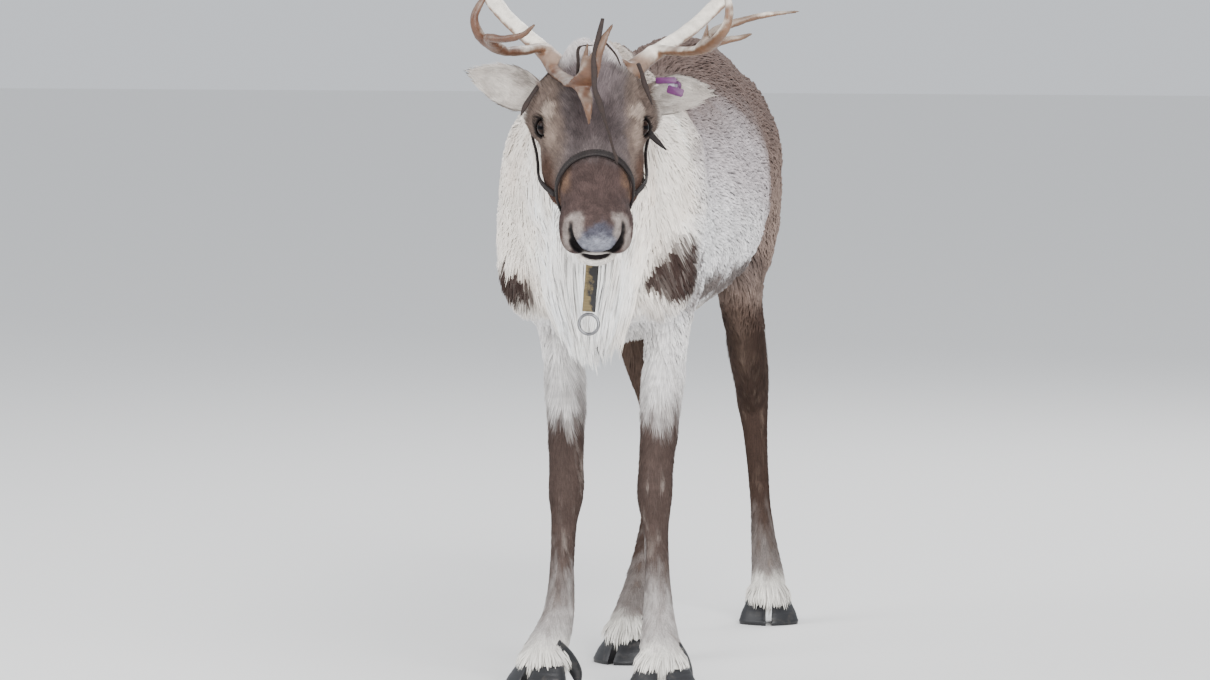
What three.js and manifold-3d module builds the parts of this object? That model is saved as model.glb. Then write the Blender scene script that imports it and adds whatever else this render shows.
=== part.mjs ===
// A standing reindeer in its autumn coat, life size, modelled as a still museum figure.
// Millimetres, +Z up. The animal faces -Y and its left side is +X.
// The origin lies on the floor under the middle of the whole figure.
import * as THREE from "three";
import { mergeVertices } from "three/addons/utils/BufferGeometryUtils.js";
import Module from "manifold-3d";

const wasm = await Module();
wasm.setup();

// Driving dimensions of the animal.
const GAP = 0.3; // kept between pieces that touch
const BODY_SHIFT_Y = -234.2; // from the anatomy's own zero, between the fore feet, to the origin
const BODY_SHIFT_X = -48.7;
const EYE_MIDDLE = [67, -394, 956]; // midway between the eyes
const HEAD_HEADING = 13.5; // degrees that the face turns to the animal's left
const HEAD_PITCH = 46.3; // degrees that the face points below the horizontal
const EYE_RADIUS = 18;
const EYE_SPREAD = 72; // from the middle of the head to each eyeball's centre
const EAR_WIDTH = 71;
const HOOF_HEIGHT = 48;
const HOOF_LENGTH = 96;
const HOOF_WIDTH = 56; // of one toe of a fore foot
const HOOF_CLEFT = 8;
const STRAP_WIDTH = 11;
const STRAP_THICK = 4;
const STRAP_LIFT = 1.9;
const RING_RADIUS = 16;
const RING_WIRE = 2.6;

// Where the body is parted into its named lengths.
const NECK_CUT = { at: [0, -78, 820], normal: [0, 1, 0.1] };
const HEAD_CUT = { at: [48, -306, 980], normal: [0.2, -0.97, 0.05] };
const LEG_CUT = { at: [0, 0, 578], normal: [0, 0, 1] };

// Distance fields: a point's distance to the coat's outer surface, negative inside.
const vec = (p) => new THREE.Vector3(p[0], p[1], p[2]);
const mix = (a, b, t) => a + (b - a) * t;

// An ellipsoid of three radii along the axes of a frame, with its reach for skipping far points.
function ball(centre, radii, axes = [[1, 0, 0], [0, 1, 0], [0, 0, 1]]) {
  const reach = Math.max(...radii);
  return {
    centre,
    reach,
    at(x, y, z) {
      const d = [x - centre[0], y - centre[1], z - centre[2]];
      let first = 0;
      let second = 0;
      for (let i = 0; i < 3; i++) {
        const along = d[0] * axes[i][0] + d[1] * axes[i][1] + d[2] * axes[i][2];
        first += (along / radii[i]) ** 2;
        second += (along / radii[i] ** 2) ** 2;
      }
      const k = Math.sqrt(first);
      return second > 1e-12 ? (k * (k - 1)) / Math.sqrt(second) : -Math.min(...radii);
    },
  };
}

// A limb or trunk: stations [x, y, z, half width, half depth] joined by a smooth curve.
// The half width is measured along side, and the half depth square to it and to the curve.
function limb(stations, side = [1, 0, 0], pieces = 5) {
  const curve = new THREE.CatmullRomCurve3(stations.map(vec), false, "centripetal");
  const sizes = new THREE.CatmullRomCurve3(
    stations.map((s) => new THREE.Vector3(s[3], s[4], 0)),
    false,
    "catmullrom",
  );
  const count = (stations.length - 1) * pieces;
  const nodes = [];
  for (let i = 0; i <= count; i++) {
    const size = sizes.getPoint(i / count);
    nodes.push({ p: curve.getPoint(i / count), a: size.x, b: size.y });
  }
  const axis = vec(side).normalize();
  const spans = [];
  for (let i = 0; i < count; i++) {
    const from = nodes[i];
    const to = nodes[i + 1];
    const run = to.p.clone().sub(from.p);
    const length = run.length();
    const t = run.clone().divideScalar(length);
    const v = axis.clone().addScaledVector(t, -axis.dot(t)).normalize();
    const w = new THREE.Vector3().crossVectors(t, v);
    spans.push({ from, to, t, v, w, length });
  }
  const box = new THREE.Box3().setFromPoints(nodes.map((n) => n.p));
  const centre = box.getCenter(new THREE.Vector3());
  const reach = centre.distanceTo(box.max) + Math.max(...nodes.map((n) => Math.max(n.a, n.b)));
  return {
    centre: centre.toArray(),
    reach,
    at(x, y, z) {
      let best = Infinity;
      for (const s of spans) {
        const dx = x - s.from.p.x;
        const dy = y - s.from.p.y;
        const dz = z - s.from.p.z;
        const along = dx * s.t.x + dy * s.t.y + dz * s.t.z;
        const h = Math.min(Math.max(along, 0), s.length);
        const a = mix(s.from.a, s.to.a, h / s.length);
        const b = mix(s.from.b, s.to.b, h / s.length);
        const e = along - h;
        const v = dx * s.v.x + dy * s.v.y + dz * s.v.z;
        const w = dx * s.w.x + dy * s.w.y + dz * s.w.z;
        const c = Math.min(a, b);
        const first = (v / a) ** 2 + (w / b) ** 2 + (e / c) ** 2;
        const second = (v / a ** 2) ** 2 + (w / b ** 2) ** 2 + (e / c ** 2) ** 2;
        const k = Math.sqrt(first);
        const d = second > 1e-12 ? (k * (k - 1)) / Math.sqrt(second) : -c;
        if (d < best) best = d;
      }
      return best;
    },
  };
}

// Parts joined one after another, each with its own softness of the join in millimetres.
// A part with a negative softness is carved out instead.
function blended(parts) {
  return (x, y, z) => {
    let d = 1e3;
    for (const { shape, soft } of parts) {
      const k = Math.abs(soft);
      const far = Math.hypot(x - shape.centre[0], y - shape.centre[1], z - shape.centre[2]);
      if (far - shape.reach > k + 60) continue;
      const e = soft > 0 ? shape.at(x, y, z) : -shape.at(x, y, z);
      const h = Math.max(k - Math.abs(d - e), 0) / k;
      d = soft > 0 ? Math.min(d, e) - (h * h * k) / 4 : Math.max(d, e) + (h * h * k) / 4;
    }
    return d;
  };
}

// The head's own frame: u runs down the face to the nose, v to the animal's left, w out of the forehead.
const heading = THREE.MathUtils.degToRad(HEAD_HEADING);
const pitch = THREE.MathUtils.degToRad(HEAD_PITCH);
const ahead = [Math.sin(heading), -Math.cos(heading)];
const HEAD_AXES = [
  [Math.cos(pitch) * ahead[0], Math.cos(pitch) * ahead[1], -Math.sin(pitch)],
  [Math.cos(heading), Math.sin(heading), 0],
  [Math.sin(pitch) * ahead[0], Math.sin(pitch) * ahead[1], Math.cos(pitch)],
];
const onHead = (u, v, w) =>
  [0, 1, 2].map((i) => EYE_MIDDLE[i] + u * HEAD_AXES[0][i] + v * HEAD_AXES[1][i] + w * HEAD_AXES[2][i]);
const headWay = (u, v, w) =>
  [0, 1, 2].map((i) => u * HEAD_AXES[0][i] + v * HEAD_AXES[1][i] + w * HEAD_AXES[2][i]);
const headBall = (u, v, w, radii) => ball(onHead(u, v, w), radii, HEAD_AXES);
const bothSides = (make) => [1, -1].map(make);

// Trunk, from the breast to the buttocks: [y, height of the middle, half width, half height].
const TRUNK = [
  [-40, 800, 122, 166],
  [10, 812, 150, 214],
  [90, 812, 168, 232],
  [250, 808, 196, 226],
  [450, 804, 210, 221],
  [620, 828, 193, 216],
  [750, 862, 164, 208],
  [850, 878, 140, 184],
  [908, 880, 98, 138],
].map(([y, z, a, b]) => [0, y, z, a, b]);

// Neck, from the withers to the poll, as it is under the hanging mane.
const NECK = [
  [0, 20, 850, 150, 205],
  [4, -70, 862, 136, 186],
  [18, -170, 900, 112, 150],
  [36, -262, 944, 92, 116],
  [50, -330, 976, 78, 92],
];

// Fore legs from the elbow to the pastern, the left one first.
const FORE_LEGS = {
  left: [
    [104, 84, 680, 60, 92],
    [102, 72, 600, 48, 66],
    [97, 42, 480, 37, 44],
    [94, 18, 385, 33, 37],
    [93, 10, 330, 34, 37],
    [95, 8, 282, 27, 28],
    [98, 4, 215, 25, 26],
    [102, -2, 132, 30, 32],
    [109, -28, 92, 36, 33],
    [116, -54, 62, 41, 35],
  ],
  right: [
    [-92, 84, 680, 58, 92],
    [-80, 72, 600, 46, 66],
    [-65, 42, 480, 36, 44],
    [-60, 18, 388, 33, 37],
    [-58, 10, 333, 34, 37],
    [-61, 8, 284, 27, 28],
    [-64, 4, 215, 25, 26],
    [-68, -2, 132, 30, 32],
    [-76, -26, 92, 36, 33],
    [-86, -50, 62, 41, 35],
  ],
};

// Hind legs from the hip to the pastern: the left one stands back, the right one has stepped forward.
const HIND_LEGS = {
  left: [
    [92, 800, 880, 78, 150],
    [98, 784, 760, 74, 138],
    [104, 780, 650, 54, 92],
    [104, 852, 548, 40, 62],
    [96, 962, 450, 33, 46],
    [91, 1008, 404, 32, 42],
    [97, 1004, 340, 26, 30],
    [108, 992, 220, 23, 26],
    [118, 982, 132, 29, 31],
    [125, 972, 90, 34, 31],
    [129, 956, 60, 37, 32],
  ],
  right: [
    [-92, 776, 880, 78, 150],
    [-94, 705, 770, 74, 132],
    [-88, 622, 672, 54, 86],
    [-56, 600, 560, 38, 58],
    [-14, 586, 440, 32, 46],
    [2, 570, 388, 32, 42],
    [2, 538, 325, 26, 30],
    [-4, 476, 212, 23, 26],
    [-12, 422, 128, 29, 31],
    [-17, 394, 90, 34, 31],
    [-23, 368, 60, 37, 32],
  ],
};

// Where each foot stands: the middle between its two toes, its turn out in degrees, and its scale.
const FEET = {
  front_left: { at: [122, -74], turn: -8, scale: 1 },
  front_right: { at: [-94, -70], turn: 24, scale: 1 },
  hind_left: { at: [131, 950], turn: -10, scale: 0.88 },
  hind_right: { at: [-27, 352], turn: 20, scale: 0.88 },
};

const trunkParts = [
  { shape: limb(TRUNK), soft: 1 },
  ...bothSides((s) => ({ shape: ball([s * 110, 36, 790], [58, 118, 172]), soft: 60 })),
  ...bothSides((s) => ({ shape: ball([s * 108, -22, 716], [58, 84, 92]), soft: 50 })),
  { shape: ball([0, -70, 706], [96, 92, 96]), soft: 60 },
  { shape: ball([0, 100, 990], [58, 190, 102]), soft: 50 },
  ...bothSides((s) => ({ shape: ball([s * 90, 836, 806], [78, 150, 190]), soft: 50 })),
  { shape: ball([0, 720, 968], [98, 200, 114]), soft: 50 },
];
const neckParts = [
  { shape: limb(NECK), soft: 60 },
];
// The mane's core hangs from the throat and the breast, well short of the tips of its locks.
const MANE = [
  [48, -318, 890, 48, 36],
  [38, -290, 812, 56, 50],
  [26, -252, 744, 58, 54],
  [18, -222, 692, 46, 42],
  [14, -210, 668, 28, 26],
];
const maneParts = [{ shape: limb(MANE), soft: 1 }, { shape: ball([12, -150, 736], [80, 82, 82]), soft: 50 }];
const MANE_ROWS = [870, 828, 786, 746, 708, 672]; // heights of the locks' roots
const MANE_THROAT = 760; // above this height the roots sit on the neck too
const MANE_LOCK_GAP = 43; // between neighbouring roots
const MANE_SPREAD = 104; // degrees each way from the front
const LOCK_LENGTH = [88, 98]; // at the throat and at the lowest row
const LOCK_HALF_WIDTH = 23;
const LOCK_HALF_DEPTH = 7;
const legParts = [
  ...Object.values(FORE_LEGS).map((s) => ({ shape: limb(s), soft: 34 })),
  ...Object.values(HIND_LEGS).map((s) => ({ shape: limb(s), soft: 34 })),
];
const headParts = [
  { shape: headBall(-62, 0, 0, [88, 76, 72]), soft: 26 },
  { shape: headBall(-40, 0, 34, [86, 58, 36]), soft: 26 },
  { shape: headBall(-112, 0, 28, [40, 50, 46]), soft: 20 },
  ...bothSides((s) => ({ shape: headBall(-4, s * 64, 12, [46, 29, 32]), soft: 22 })),
  ...bothSides((s) => ({ shape: headBall(14, s * 52, -46, [104, 33, 50]), soft: 26 })),
  {
    shape: limb(
      [
        [...onHead(0, 0, 2), 68, 58],
        [...onHead(70, 0, -2), 62, 54],
        [...onHead(130, 0, -10), 57, 50],
        [...onHead(186, 0, -14), 54, 48],
      ],
      HEAD_AXES[1],
    ),
    soft: 22,
  },
  { shape: headBall(188, 0, -12, [40, 59, 46]), soft: 16 },
  { shape: headBall(210, 0, 2, [25, 46, 34]), soft: 12 },
  ...bothSides((s) => ({ shape: headBall(204, s * 32, -26, [32, 26, 22]), soft: 10 })),
  {
    shape: limb(
      [
        [...onHead(-40, 0, -84), 52, 26],
        [...onHead(60, 0, -66), 44, 24],
        [...onHead(140, 0, -60), 38, 22],
        [...onHead(196, 0, -62), 34, 19],
      ],
      HEAD_AXES[1],
    ),
    soft: 18,
  },
  { shape: headBall(206, 0, -64, [22, 34, 20]), soft: 8 },
  ...bothSides((s) => ({ shape: headBall(-66, s * 64, 16, [26, 24, 24]), soft: 16 })),
  ...bothSides((s) => ({ shape: headBall(-42, s * 84, -16, [38, 25, 36]), soft: 22 })),
];

const headField = blended([...headParts, { shape: limb(NECK), soft: 30 }]);
const bodyField = blended([...trunkParts, ...neckParts, ...legParts]);
const maneField = blended(maneParts);
const breastField = blended([...trunkParts, ...neckParts, ...maneParts]);

// The first point where a ray from inside a field leaves it, pushed out by offset.
function leaves(field, from, way, offset = 0, furthest = 400) {
  const d = vec(way).normalize();
  const step = 4;
  let inside = 0;
  let outside = furthest;
  for (let s = 0; s < furthest; s += step) {
    if (field(from[0] + d.x * s, from[1] + d.y * s, from[2] + d.z * s) > 0) {
      outside = s;
      break;
    }
    inside = s;
  }
  for (let i = 0; i < 14; i++) {
    const middle = (inside + outside) / 2;
    const p = [from[0] + d.x * middle, from[1] + d.y * middle, from[2] + d.z * middle];
    if (field(...p) > 0) outside = middle;
    else inside = middle;
  }
  const s = outside + offset;
  return [from[0] + d.x * s, from[1] + d.y * s, from[2] + d.z * s];
}

// Meshes.
function solidOf(geometry) {
  const bare = geometry.clone();
  for (const name of Object.keys(bare.attributes)) {
    if (name !== "position") bare.deleteAttribute(name);
  }
  const merged = mergeVertices(bare, 1e-3);
  return new wasm.Manifold(
    new wasm.Mesh({
      numProp: 3,
      vertProperties: new Float32Array(merged.attributes.position.array),
      triVerts: new Uint32Array(merged.index.array),
    }),
  );
}

function solidFrom(points, faces) {
  const g = new THREE.BufferGeometry();
  g.setAttribute("position", new THREE.Float32BufferAttribute(points.flat(), 3));
  g.setIndex(faces.flat());
  const solid = solidOf(g);
  if (solid.volume() > 0) return solid;
  return solidFrom(points, faces.map(([a, b, c]) => [a, c, b]));
}

// The surface of a field inside a box, as a net of cells of the given steps along three axes.
// The box's own faces close the net where the flesh runs out of it.
function netted(field, low, high, steps, axes = null) {
  const [u, v, w] = axes ?? [[1, 0, 0], [0, 1, 0], [0, 0, 1]];
  const place = (a, b, c) => [0, 1, 2].map((i) => a * u[i] + b * v[i] + c * w[i]);
  const n = [0, 1, 2].map((i) => Math.ceil((high[i] - low[i]) / steps[i]) + 1);
  const id = (i, j, k) => (i * n[1] + j) * n[2] + k;
  const value = new Float64Array(n[0] * n[1] * n[2]);
  for (let i = 0; i < n[0]; i++) {
    for (let j = 0; j < n[1]; j++) {
      for (let k = 0; k < n[2]; k++) {
        const edge = [i, j, k].some((q, m) => q === 0 || q === n[m] - 1);
        const p = place(low[0] + i * steps[0], low[1] + j * steps[1], low[2] + k * steps[2]);
        value[id(i, j, k)] = edge ? Math.max(field(...p), steps[0] / 2) : field(...p);
      }
    }
  }
  const points = [];
  const cell = new Int32Array(value.length).fill(-1);
  for (let i = 0; i < n[0] - 1; i++) {
    for (let j = 0; j < n[1] - 1; j++) {
      for (let k = 0; k < n[2] - 1; k++) {
        const sum = [0, 0, 0];
        let crossings = 0;
        for (let e = 0; e < 12; e++) {
          const axis = e >> 2;
          const b = (axis + 1) % 3;
          const c = (axis + 2) % 3;
          const p = [0, 0, 0];
          p[b] = e & 1;
          p[c] = (e >> 1) & 1;
          const q = [...p];
          q[axis] = 1;
          const f = value[id(i + p[0], j + p[1], k + p[2])];
          const g = value[id(i + q[0], j + q[1], k + q[2])];
          if (f < 0 === g < 0) continue;
          p[axis] = f / (f - g);
          for (let m = 0; m < 3; m++) sum[m] += p[m];
          crossings++;
        }
        if (!crossings) continue;
        const at = [i, j, k].map((q, m) => low[m] + (q + sum[m] / crossings) * steps[m]);
        cell[id(i, j, k)] = points.length;
        points.push(place(...at));
      }
    }
  }
  const faces = [];
  for (let i = 0; i < n[0] - 1; i++) {
    for (let j = 0; j < n[1] - 1; j++) {
      for (let k = 0; k < n[2] - 1; k++) {
        const here = value[id(i, j, k)] < 0;
        const around = [
          [j && k, id(i + 1, j, k), [id(i, j - 1, k - 1), id(i, j, k - 1), id(i, j, k), id(i, j - 1, k)]],
          [i && k, id(i, j + 1, k), [id(i - 1, j, k - 1), id(i - 1, j, k), id(i, j, k), id(i, j, k - 1)]],
          [i && j, id(i, j, k + 1), [id(i - 1, j - 1, k), id(i, j - 1, k), id(i, j, k), id(i - 1, j, k)]],
        ];
        for (const [inner, next, cells] of around) {
          if (!inner || value[next] < 0 === here) continue;
          const q = cells.map((m) => cell[m]);
          if (!here) q.reverse();
          faces.push([q[0], q[1], q[2]], [q[0], q[2], q[3]]);
        }
      }
    }
  }
  const probe = 1;
  for (const p of points) {
    for (let pass = 0; pass < 2; pass++) {
      const d = field(...p);
      if (Math.abs(d) > steps[0]) continue;
      const slope = [0, 1, 2].map((i) => {
        const q = [...p];
        q[i] += probe;
        return (field(...q) - d) / probe;
      });
      const size = Math.hypot(...slope) ** 2 || 1;
      for (let i = 0; i < 3; i++) p[i] -= (d * slope[i]) / size;
    }
  }
  return solidFrom(points, faces);
}

// What lies behind a plane, on the side that its normal points away from, is cut off.
function keepAhead(solid, { at, normal }) {
  const size = 3000;
  const block = new THREE.BoxGeometry(size, size, size).translate(0, 0, -size / 2 + GAP / 2);
  const turn = new THREE.Quaternion().setFromUnitVectors(
    new THREE.Vector3(0, 0, 1),
    vec(normal).normalize(),
  );
  block.applyQuaternion(turn);
  block.translate(...at);
  return solid.subtract(solidOf(block));
}
const behind = ({ at, normal }) => ({ at, normal: normal.map((x) => -x) });

function largest(solid) {
  return solid.decompose().sort((a, b) => b.volume() - a.volume())[0];
}

// A tube of changing oval section along a smooth curve through points [x, y, z, half width, half depth].
// A pointed end closes in one vertex and a flat one in a fan.
function swept(points, { side = [1, 0, 0], sides = 8, rings = null, closed = false, grow = 0 } = {}) {
  const curve = new THREE.CatmullRomCurve3(points.map(vec), closed, "centripetal");
  const count = rings ?? points.length * 2;
  const spots = [];
  const last = closed ? count - 1 : count;
  const size = (t, axis) => {
    const at = t * (closed ? points.length : points.length - 1);
    const i = Math.min(Math.floor(at), points.length - 1);
    const j = closed ? (i + 1) % points.length : Math.min(i + 1, points.length - 1);
    return mix(points[i][axis], points[j][axis], at - i);
  };
  const hint = vec(side).normalize();
  for (let i = 0; i <= last; i++) {
    const t = i / count;
    const p = curve.getPoint(t);
    const along = curve.getTangent(t);
    const v = hint.clone().addScaledVector(along, -hint.dot(along)).normalize();
    const w = new THREE.Vector3().crossVectors(along, v);
    for (let s = 0; s < sides; s++) {
      const angle = (s / sides) * 2 * Math.PI;
      const a = (size(t, 3) + grow) * Math.cos(angle);
      const b = (size(t, 4) + grow) * Math.sin(angle);
      spots.push(p.clone().addScaledVector(v, a).addScaledVector(w, b).toArray());
    }
  }
  const faces = [];
  const ringCount = last + 1;
  for (let i = 0; i < (closed ? ringCount : last); i++) {
    for (let s = 0; s < sides; s++) {
      const a = i * sides + s;
      const b = i * sides + ((s + 1) % sides);
      const c = ((i + 1) % ringCount) * sides + s;
      const d = ((i + 1) % ringCount) * sides + ((s + 1) % sides);
      faces.push([a, b, d], [a, d, c]);
    }
  }
  if (!closed) {
    for (const [ring, flip] of [[0, true], [last, false]]) {
      const t = ring / count;
      const bulge = (Math.min(size(t, 3), size(t, 4)) + grow) * (flip ? -0.5 : 0.5);
      const tip = spots.length;
      spots.push(curve.getPoint(t).addScaledVector(curve.getTangent(t), bulge).toArray());
      for (let s = 0; s < sides; s++) {
        const a = ring * sides + s;
        const b = ring * sides + ((s + 1) % sides);
        faces.push(flip ? [tip, b, a] : [tip, a, b]);
      }
    }
  }
  return solidFrom(spots, faces);
}

const joined = (solids) => solids.reduce((all, one) => all.add(one));
const without = (solid, cutters) => largest(cutters.reduce((left, one) => left.subtract(one), solid));

// A repeatable stream of numbers from 0 to 1, for the small differences between locks.
function stream(seed) {
  let state = seed;
  return () => {
    state = (state * 1664525 + 1013904223) % 4294967296;
    return state / 4294967296;
  };
}

const COLOURS = {
  coat: { color: 0x8d8378, roughness: 0.95 },
  pale: { color: 0xd9d3c6, roughness: 0.95 },
  face: { color: 0x6d625a, roughness: 0.9 },
  leg: { color: 0x5c4f48, roughness: 0.9 },
  eye: { color: 0x120f10, roughness: 0.08 },
  antler: { color: 0xb08a68, roughness: 0.55 },
  hoof: { color: 0x26272b, roughness: 0.5 },
  strap: { color: 0x2a2526, roughness: 0.7 },
  steel: { color: 0x9a9da1, roughness: 0.35, metalness: 1 },
  tag: { color: 0x6a1f63, roughness: 0.45 },
};
const figure = new THREE.Group();
figure.position.set(BODY_SHIFT_X, BODY_SHIFT_Y, 0);

function addNode(name, solid, finish) {
  const mesh = solid.getMesh();
  const stride = mesh.numProp;
  const positions = new Float32Array(mesh.numVert * 3);
  for (let i = 0; i < mesh.numVert; i++) {
    positions.set(mesh.vertProperties.subarray(i * stride, i * stride + 3), i * 3);
  }
  const g = new THREE.BufferGeometry();
  g.setAttribute("position", new THREE.BufferAttribute(positions, 3));
  g.setIndex(new THREE.BufferAttribute(mesh.triVerts, 1));
  const node = new THREE.Mesh(g, new THREE.MeshStandardMaterial(COLOURS[finish]));
  node.name = name;
  figure.add(node);
}

// Every vertex of a solid moved outwards a little, for cutting its place out of a neighbour.
function swollen(solid, by = GAP * 1.5) {
  const mesh = solid.getMesh();
  const p = mesh.vertProperties;
  const out = Array.from({ length: mesh.numVert }, () => new THREE.Vector3());
  const corner = (i) => new THREE.Vector3(p[i * 3], p[i * 3 + 1], p[i * 3 + 2]);
  for (let f = 0; f < mesh.numTri; f++) {
    const ids = [0, 1, 2].map((k) => mesh.triVerts[f * 3 + k]);
    const [a, b, c] = ids.map(corner);
    const normal = b.clone().sub(a).cross(c.clone().sub(a)).normalize();
    ids.forEach((id, k) => {
      const here = [a, b, c][k];
      const one = [b, c, a][k].clone().sub(here);
      const two = [c, a, b][k].clone().sub(here);
      out[id].addScaledVector(normal, one.angleTo(two));
    });
  }
  const points = out.map((n, i) => corner(i).addScaledVector(n.normalize(), by).toArray());
  const faces = [];
  for (let f = 0; f < mesh.numTri; f++) faces.push([...mesh.triVerts.slice(f * 3, f * 3 + 3)]);
  return solidFrom(points, faces);
}

// Trunk and neck come from one net, so that they meet in the same outline.
const trunkNet = netted(bodyField, [-250, -420, 540], [250, 1060, 1140], [41, 46, 39]);
const torso = largest(keepAhead(keepAhead(trunkNet, NECK_CUT), LEG_CUT));

// Head: the skull's broad forms, the muzzle, lips and jaw under short hair.
const headLow = [-160, -110, -150];
const headHigh = [250, 110, 110];
const middle = [0, 1, 2].map((i) => HEAD_AXES[i].reduce((sum, x, k) => sum + x * EYE_MIDDLE[k], 0));
const headNet = netted(
  headField,
  headLow.map((x, i) => x + middle[i]),
  headHigh.map((x, i) => x + middle[i]),
  [14, 14, 13],
  HEAD_AXES,
);
let head = largest(keepAhead(headNet, HEAD_CUT));

// Eyes: balls in hollows of the skull, each behind a rim of lid.
const ballAt = (centre, radius, detail = 1) =>
  solidOf(new THREE.IcosahedronGeometry(radius, detail).translate(...centre));
const eyeAt = (s) => onHead(0, s * EYE_SPREAD, 5);
const eyeWay = (s) => vec(headWay(0.3, s * 0.84, 0.42)).normalize();
const LID_RADIUS = 3.4;
function lid(s) {
  const out = eyeWay(s);
  const along = vec(headWay(1, 0, 0)).addScaledVector(out, -out.dot(vec(headWay(1, 0, 0)))).normalize();
  const up = new THREE.Vector3().crossVectors(out, along);
  const points = Array.from({ length: 10 }, (_, i) => {
    const a = (i / 10) * 2 * Math.PI;
    const p = vec(eyeAt(s)).addScaledVector(out, 10 - 3 * Math.abs(Math.cos(a)) ** 3);
    p.addScaledVector(along, 19 * Math.cos(a)).addScaledVector(up, 15 * Math.sin(a));
    return [...p.toArray(), LID_RADIUS, LID_RADIUS];
  });
  return swept(points, { side: out.toArray(), sides: 5, rings: 14, closed: true });
}
const eyes = bothSides((s) => ballAt(eyeAt(s), EYE_RADIUS));
const hollows = bothSides((s) => ballAt(vec(eyeAt(s)).addScaledVector(eyeWay(s), 29).toArray(), 24, 1));
head = without(head, hollows);
head = joined([head, ...bothSides(lid)]);
head = without(head, eyes.map((e) => swollen(e)));

// Mouth line and nostrils: slits cut into the muzzle.
const onMuzzle = (v, w) => leaves(headField, onHead(150, v, w), headWay(1, 0, 0));
const mouth = Array.from({ length: 9 }, (_, i) => {
  const a = mix(-1.75, 1.75, i / 8);
  const from = onHead(150, 0, -48 - 3 * Math.cos(a));
  return [...leaves(headField, from, headWay(Math.cos(a), Math.sin(a), 0)), 2.4, 9];
});
const nostril = (s) =>
  [[39, 26, 3], [38, 8, 5], [35, -8, 6], [27, -19, 5], [16, -21, 3]].map(([v, w, r]) => {
    return [...onMuzzle(s * v, w - 8), r, 9];
  });
head = without(head, [
  swept(mouth, { side: HEAD_AXES[2], sides: 6, rings: 14 }),
  ...bothSides((s) => swept(nostril(s), { side: HEAD_AXES[1], sides: 6, rings: 6 })),
]);
const headPlace = swollen(head);

const neckBase = keepAhead(trunkNet, behind(NECK_CUT));
const maneNet = netted(maneField, [-110, -420, 520], [150, -60, 960], [34, 34, 38]);
let neck = neckBase.subtract(headPlace);
neck = keepAhead(neck, behind({ at: HEAD_CUT.at, normal: HEAD_CUT.normal }));
neck = neck.add(keepAhead(maneNet, behind(NECK_CUT)));

// A flat, tapered lock that leaves the skin with its root sunk, bends over and hangs to a tip.
function lock(root, out, length, turn) {
  const down = new THREE.Vector3(0, 0, -1);
  const flat = new THREE.Vector3(-out.y, out.x, 0).normalize();
  const side = flat.clone().addScaledVector(out, turn);
  const spot = (away, drop, drift, a, b) => {
    const p = vec(root).addScaledVector(out, away).addScaledVector(down, drop * length);
    p.addScaledVector(flat, drift * length * turn);
    return [...p.toArray(), a * LOCK_HALF_WIDTH, b * LOCK_HALF_DEPTH];
  };
  const path = [
    spot(-16, -0.14, 0, 0.7, 0.9),
    spot(3, 0.12, 0.1, 1, 1),
    spot(13, 0.56, 0.3, 0.8, 0.8),
    spot(9, 1, 0.2, 0.14, 0.3),
  ];
  return swept(path, { side: side.toArray(), sides: 4, rings: 3 });
}

// Locks of the mane, in staggered rows down the throat and the breast.
const random = stream(41);
const locks = [];
MANE_ROWS.forEach((z, row) => {
  const t = (MANE_ROWS[0] - z) / (MANE_ROWS[0] - MANE_ROWS.at(-1));
  const axis = [mix(46, 16, t), mix(-300, -206, t), z];
  const skin = z > MANE_THROAT ? breastField : maneField;
  const front = vec(leaves(skin, axis, [0, -1, 0]));
  const radius = front.distanceTo(vec(axis)) * 0.5 + 34;
  const spread = THREE.MathUtils.degToRad(MANE_SPREAD);
  const count = Math.round((2 * spread * radius) / MANE_LOCK_GAP);
  for (let i = 0; i < count; i++) {
    const a = spread * ((2 * (i + 0.25 + 0.5 * (row % 2))) / count - 1) + 0.12 * (random() - 0.5);
    const out = new THREE.Vector3(Math.sin(a), -Math.cos(a), 0);
    const root = leaves(skin, axis, out.toArray());
    const length = mix(...LOCK_LENGTH, t) * (0.9 + 0.25 * random());
    locks.push(lock(root, out, length, (random() - 0.5) * 0.7));
  }
});
neck = joined([neck, ...locks]);
neck = keepAhead(neck, behind(NECK_CUT));
neck = largest(neck.subtract(headPlace));

addNode("torso", torso, "coat");
addNode("neck", neck, "pale");
addNode("head", head, "face");
["eye_left", "eye_right"].forEach((name, i) => addNode(name, eyes[i], "eye"));

// Tail: a short flat drop, pale underneath.
const TAIL = [
  [0, 950, 966, 42, 26],
  [0, 996, 942, 40, 25],
  [0, 1024, 902, 34, 21],
  [0, 1034, 858, 20, 14],
  [0, 1034, 830, 6, 5],
];
addNode("tail", without(swept(TAIL, { sides: 8 }), [swollen(torso)]), "pale");

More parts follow.
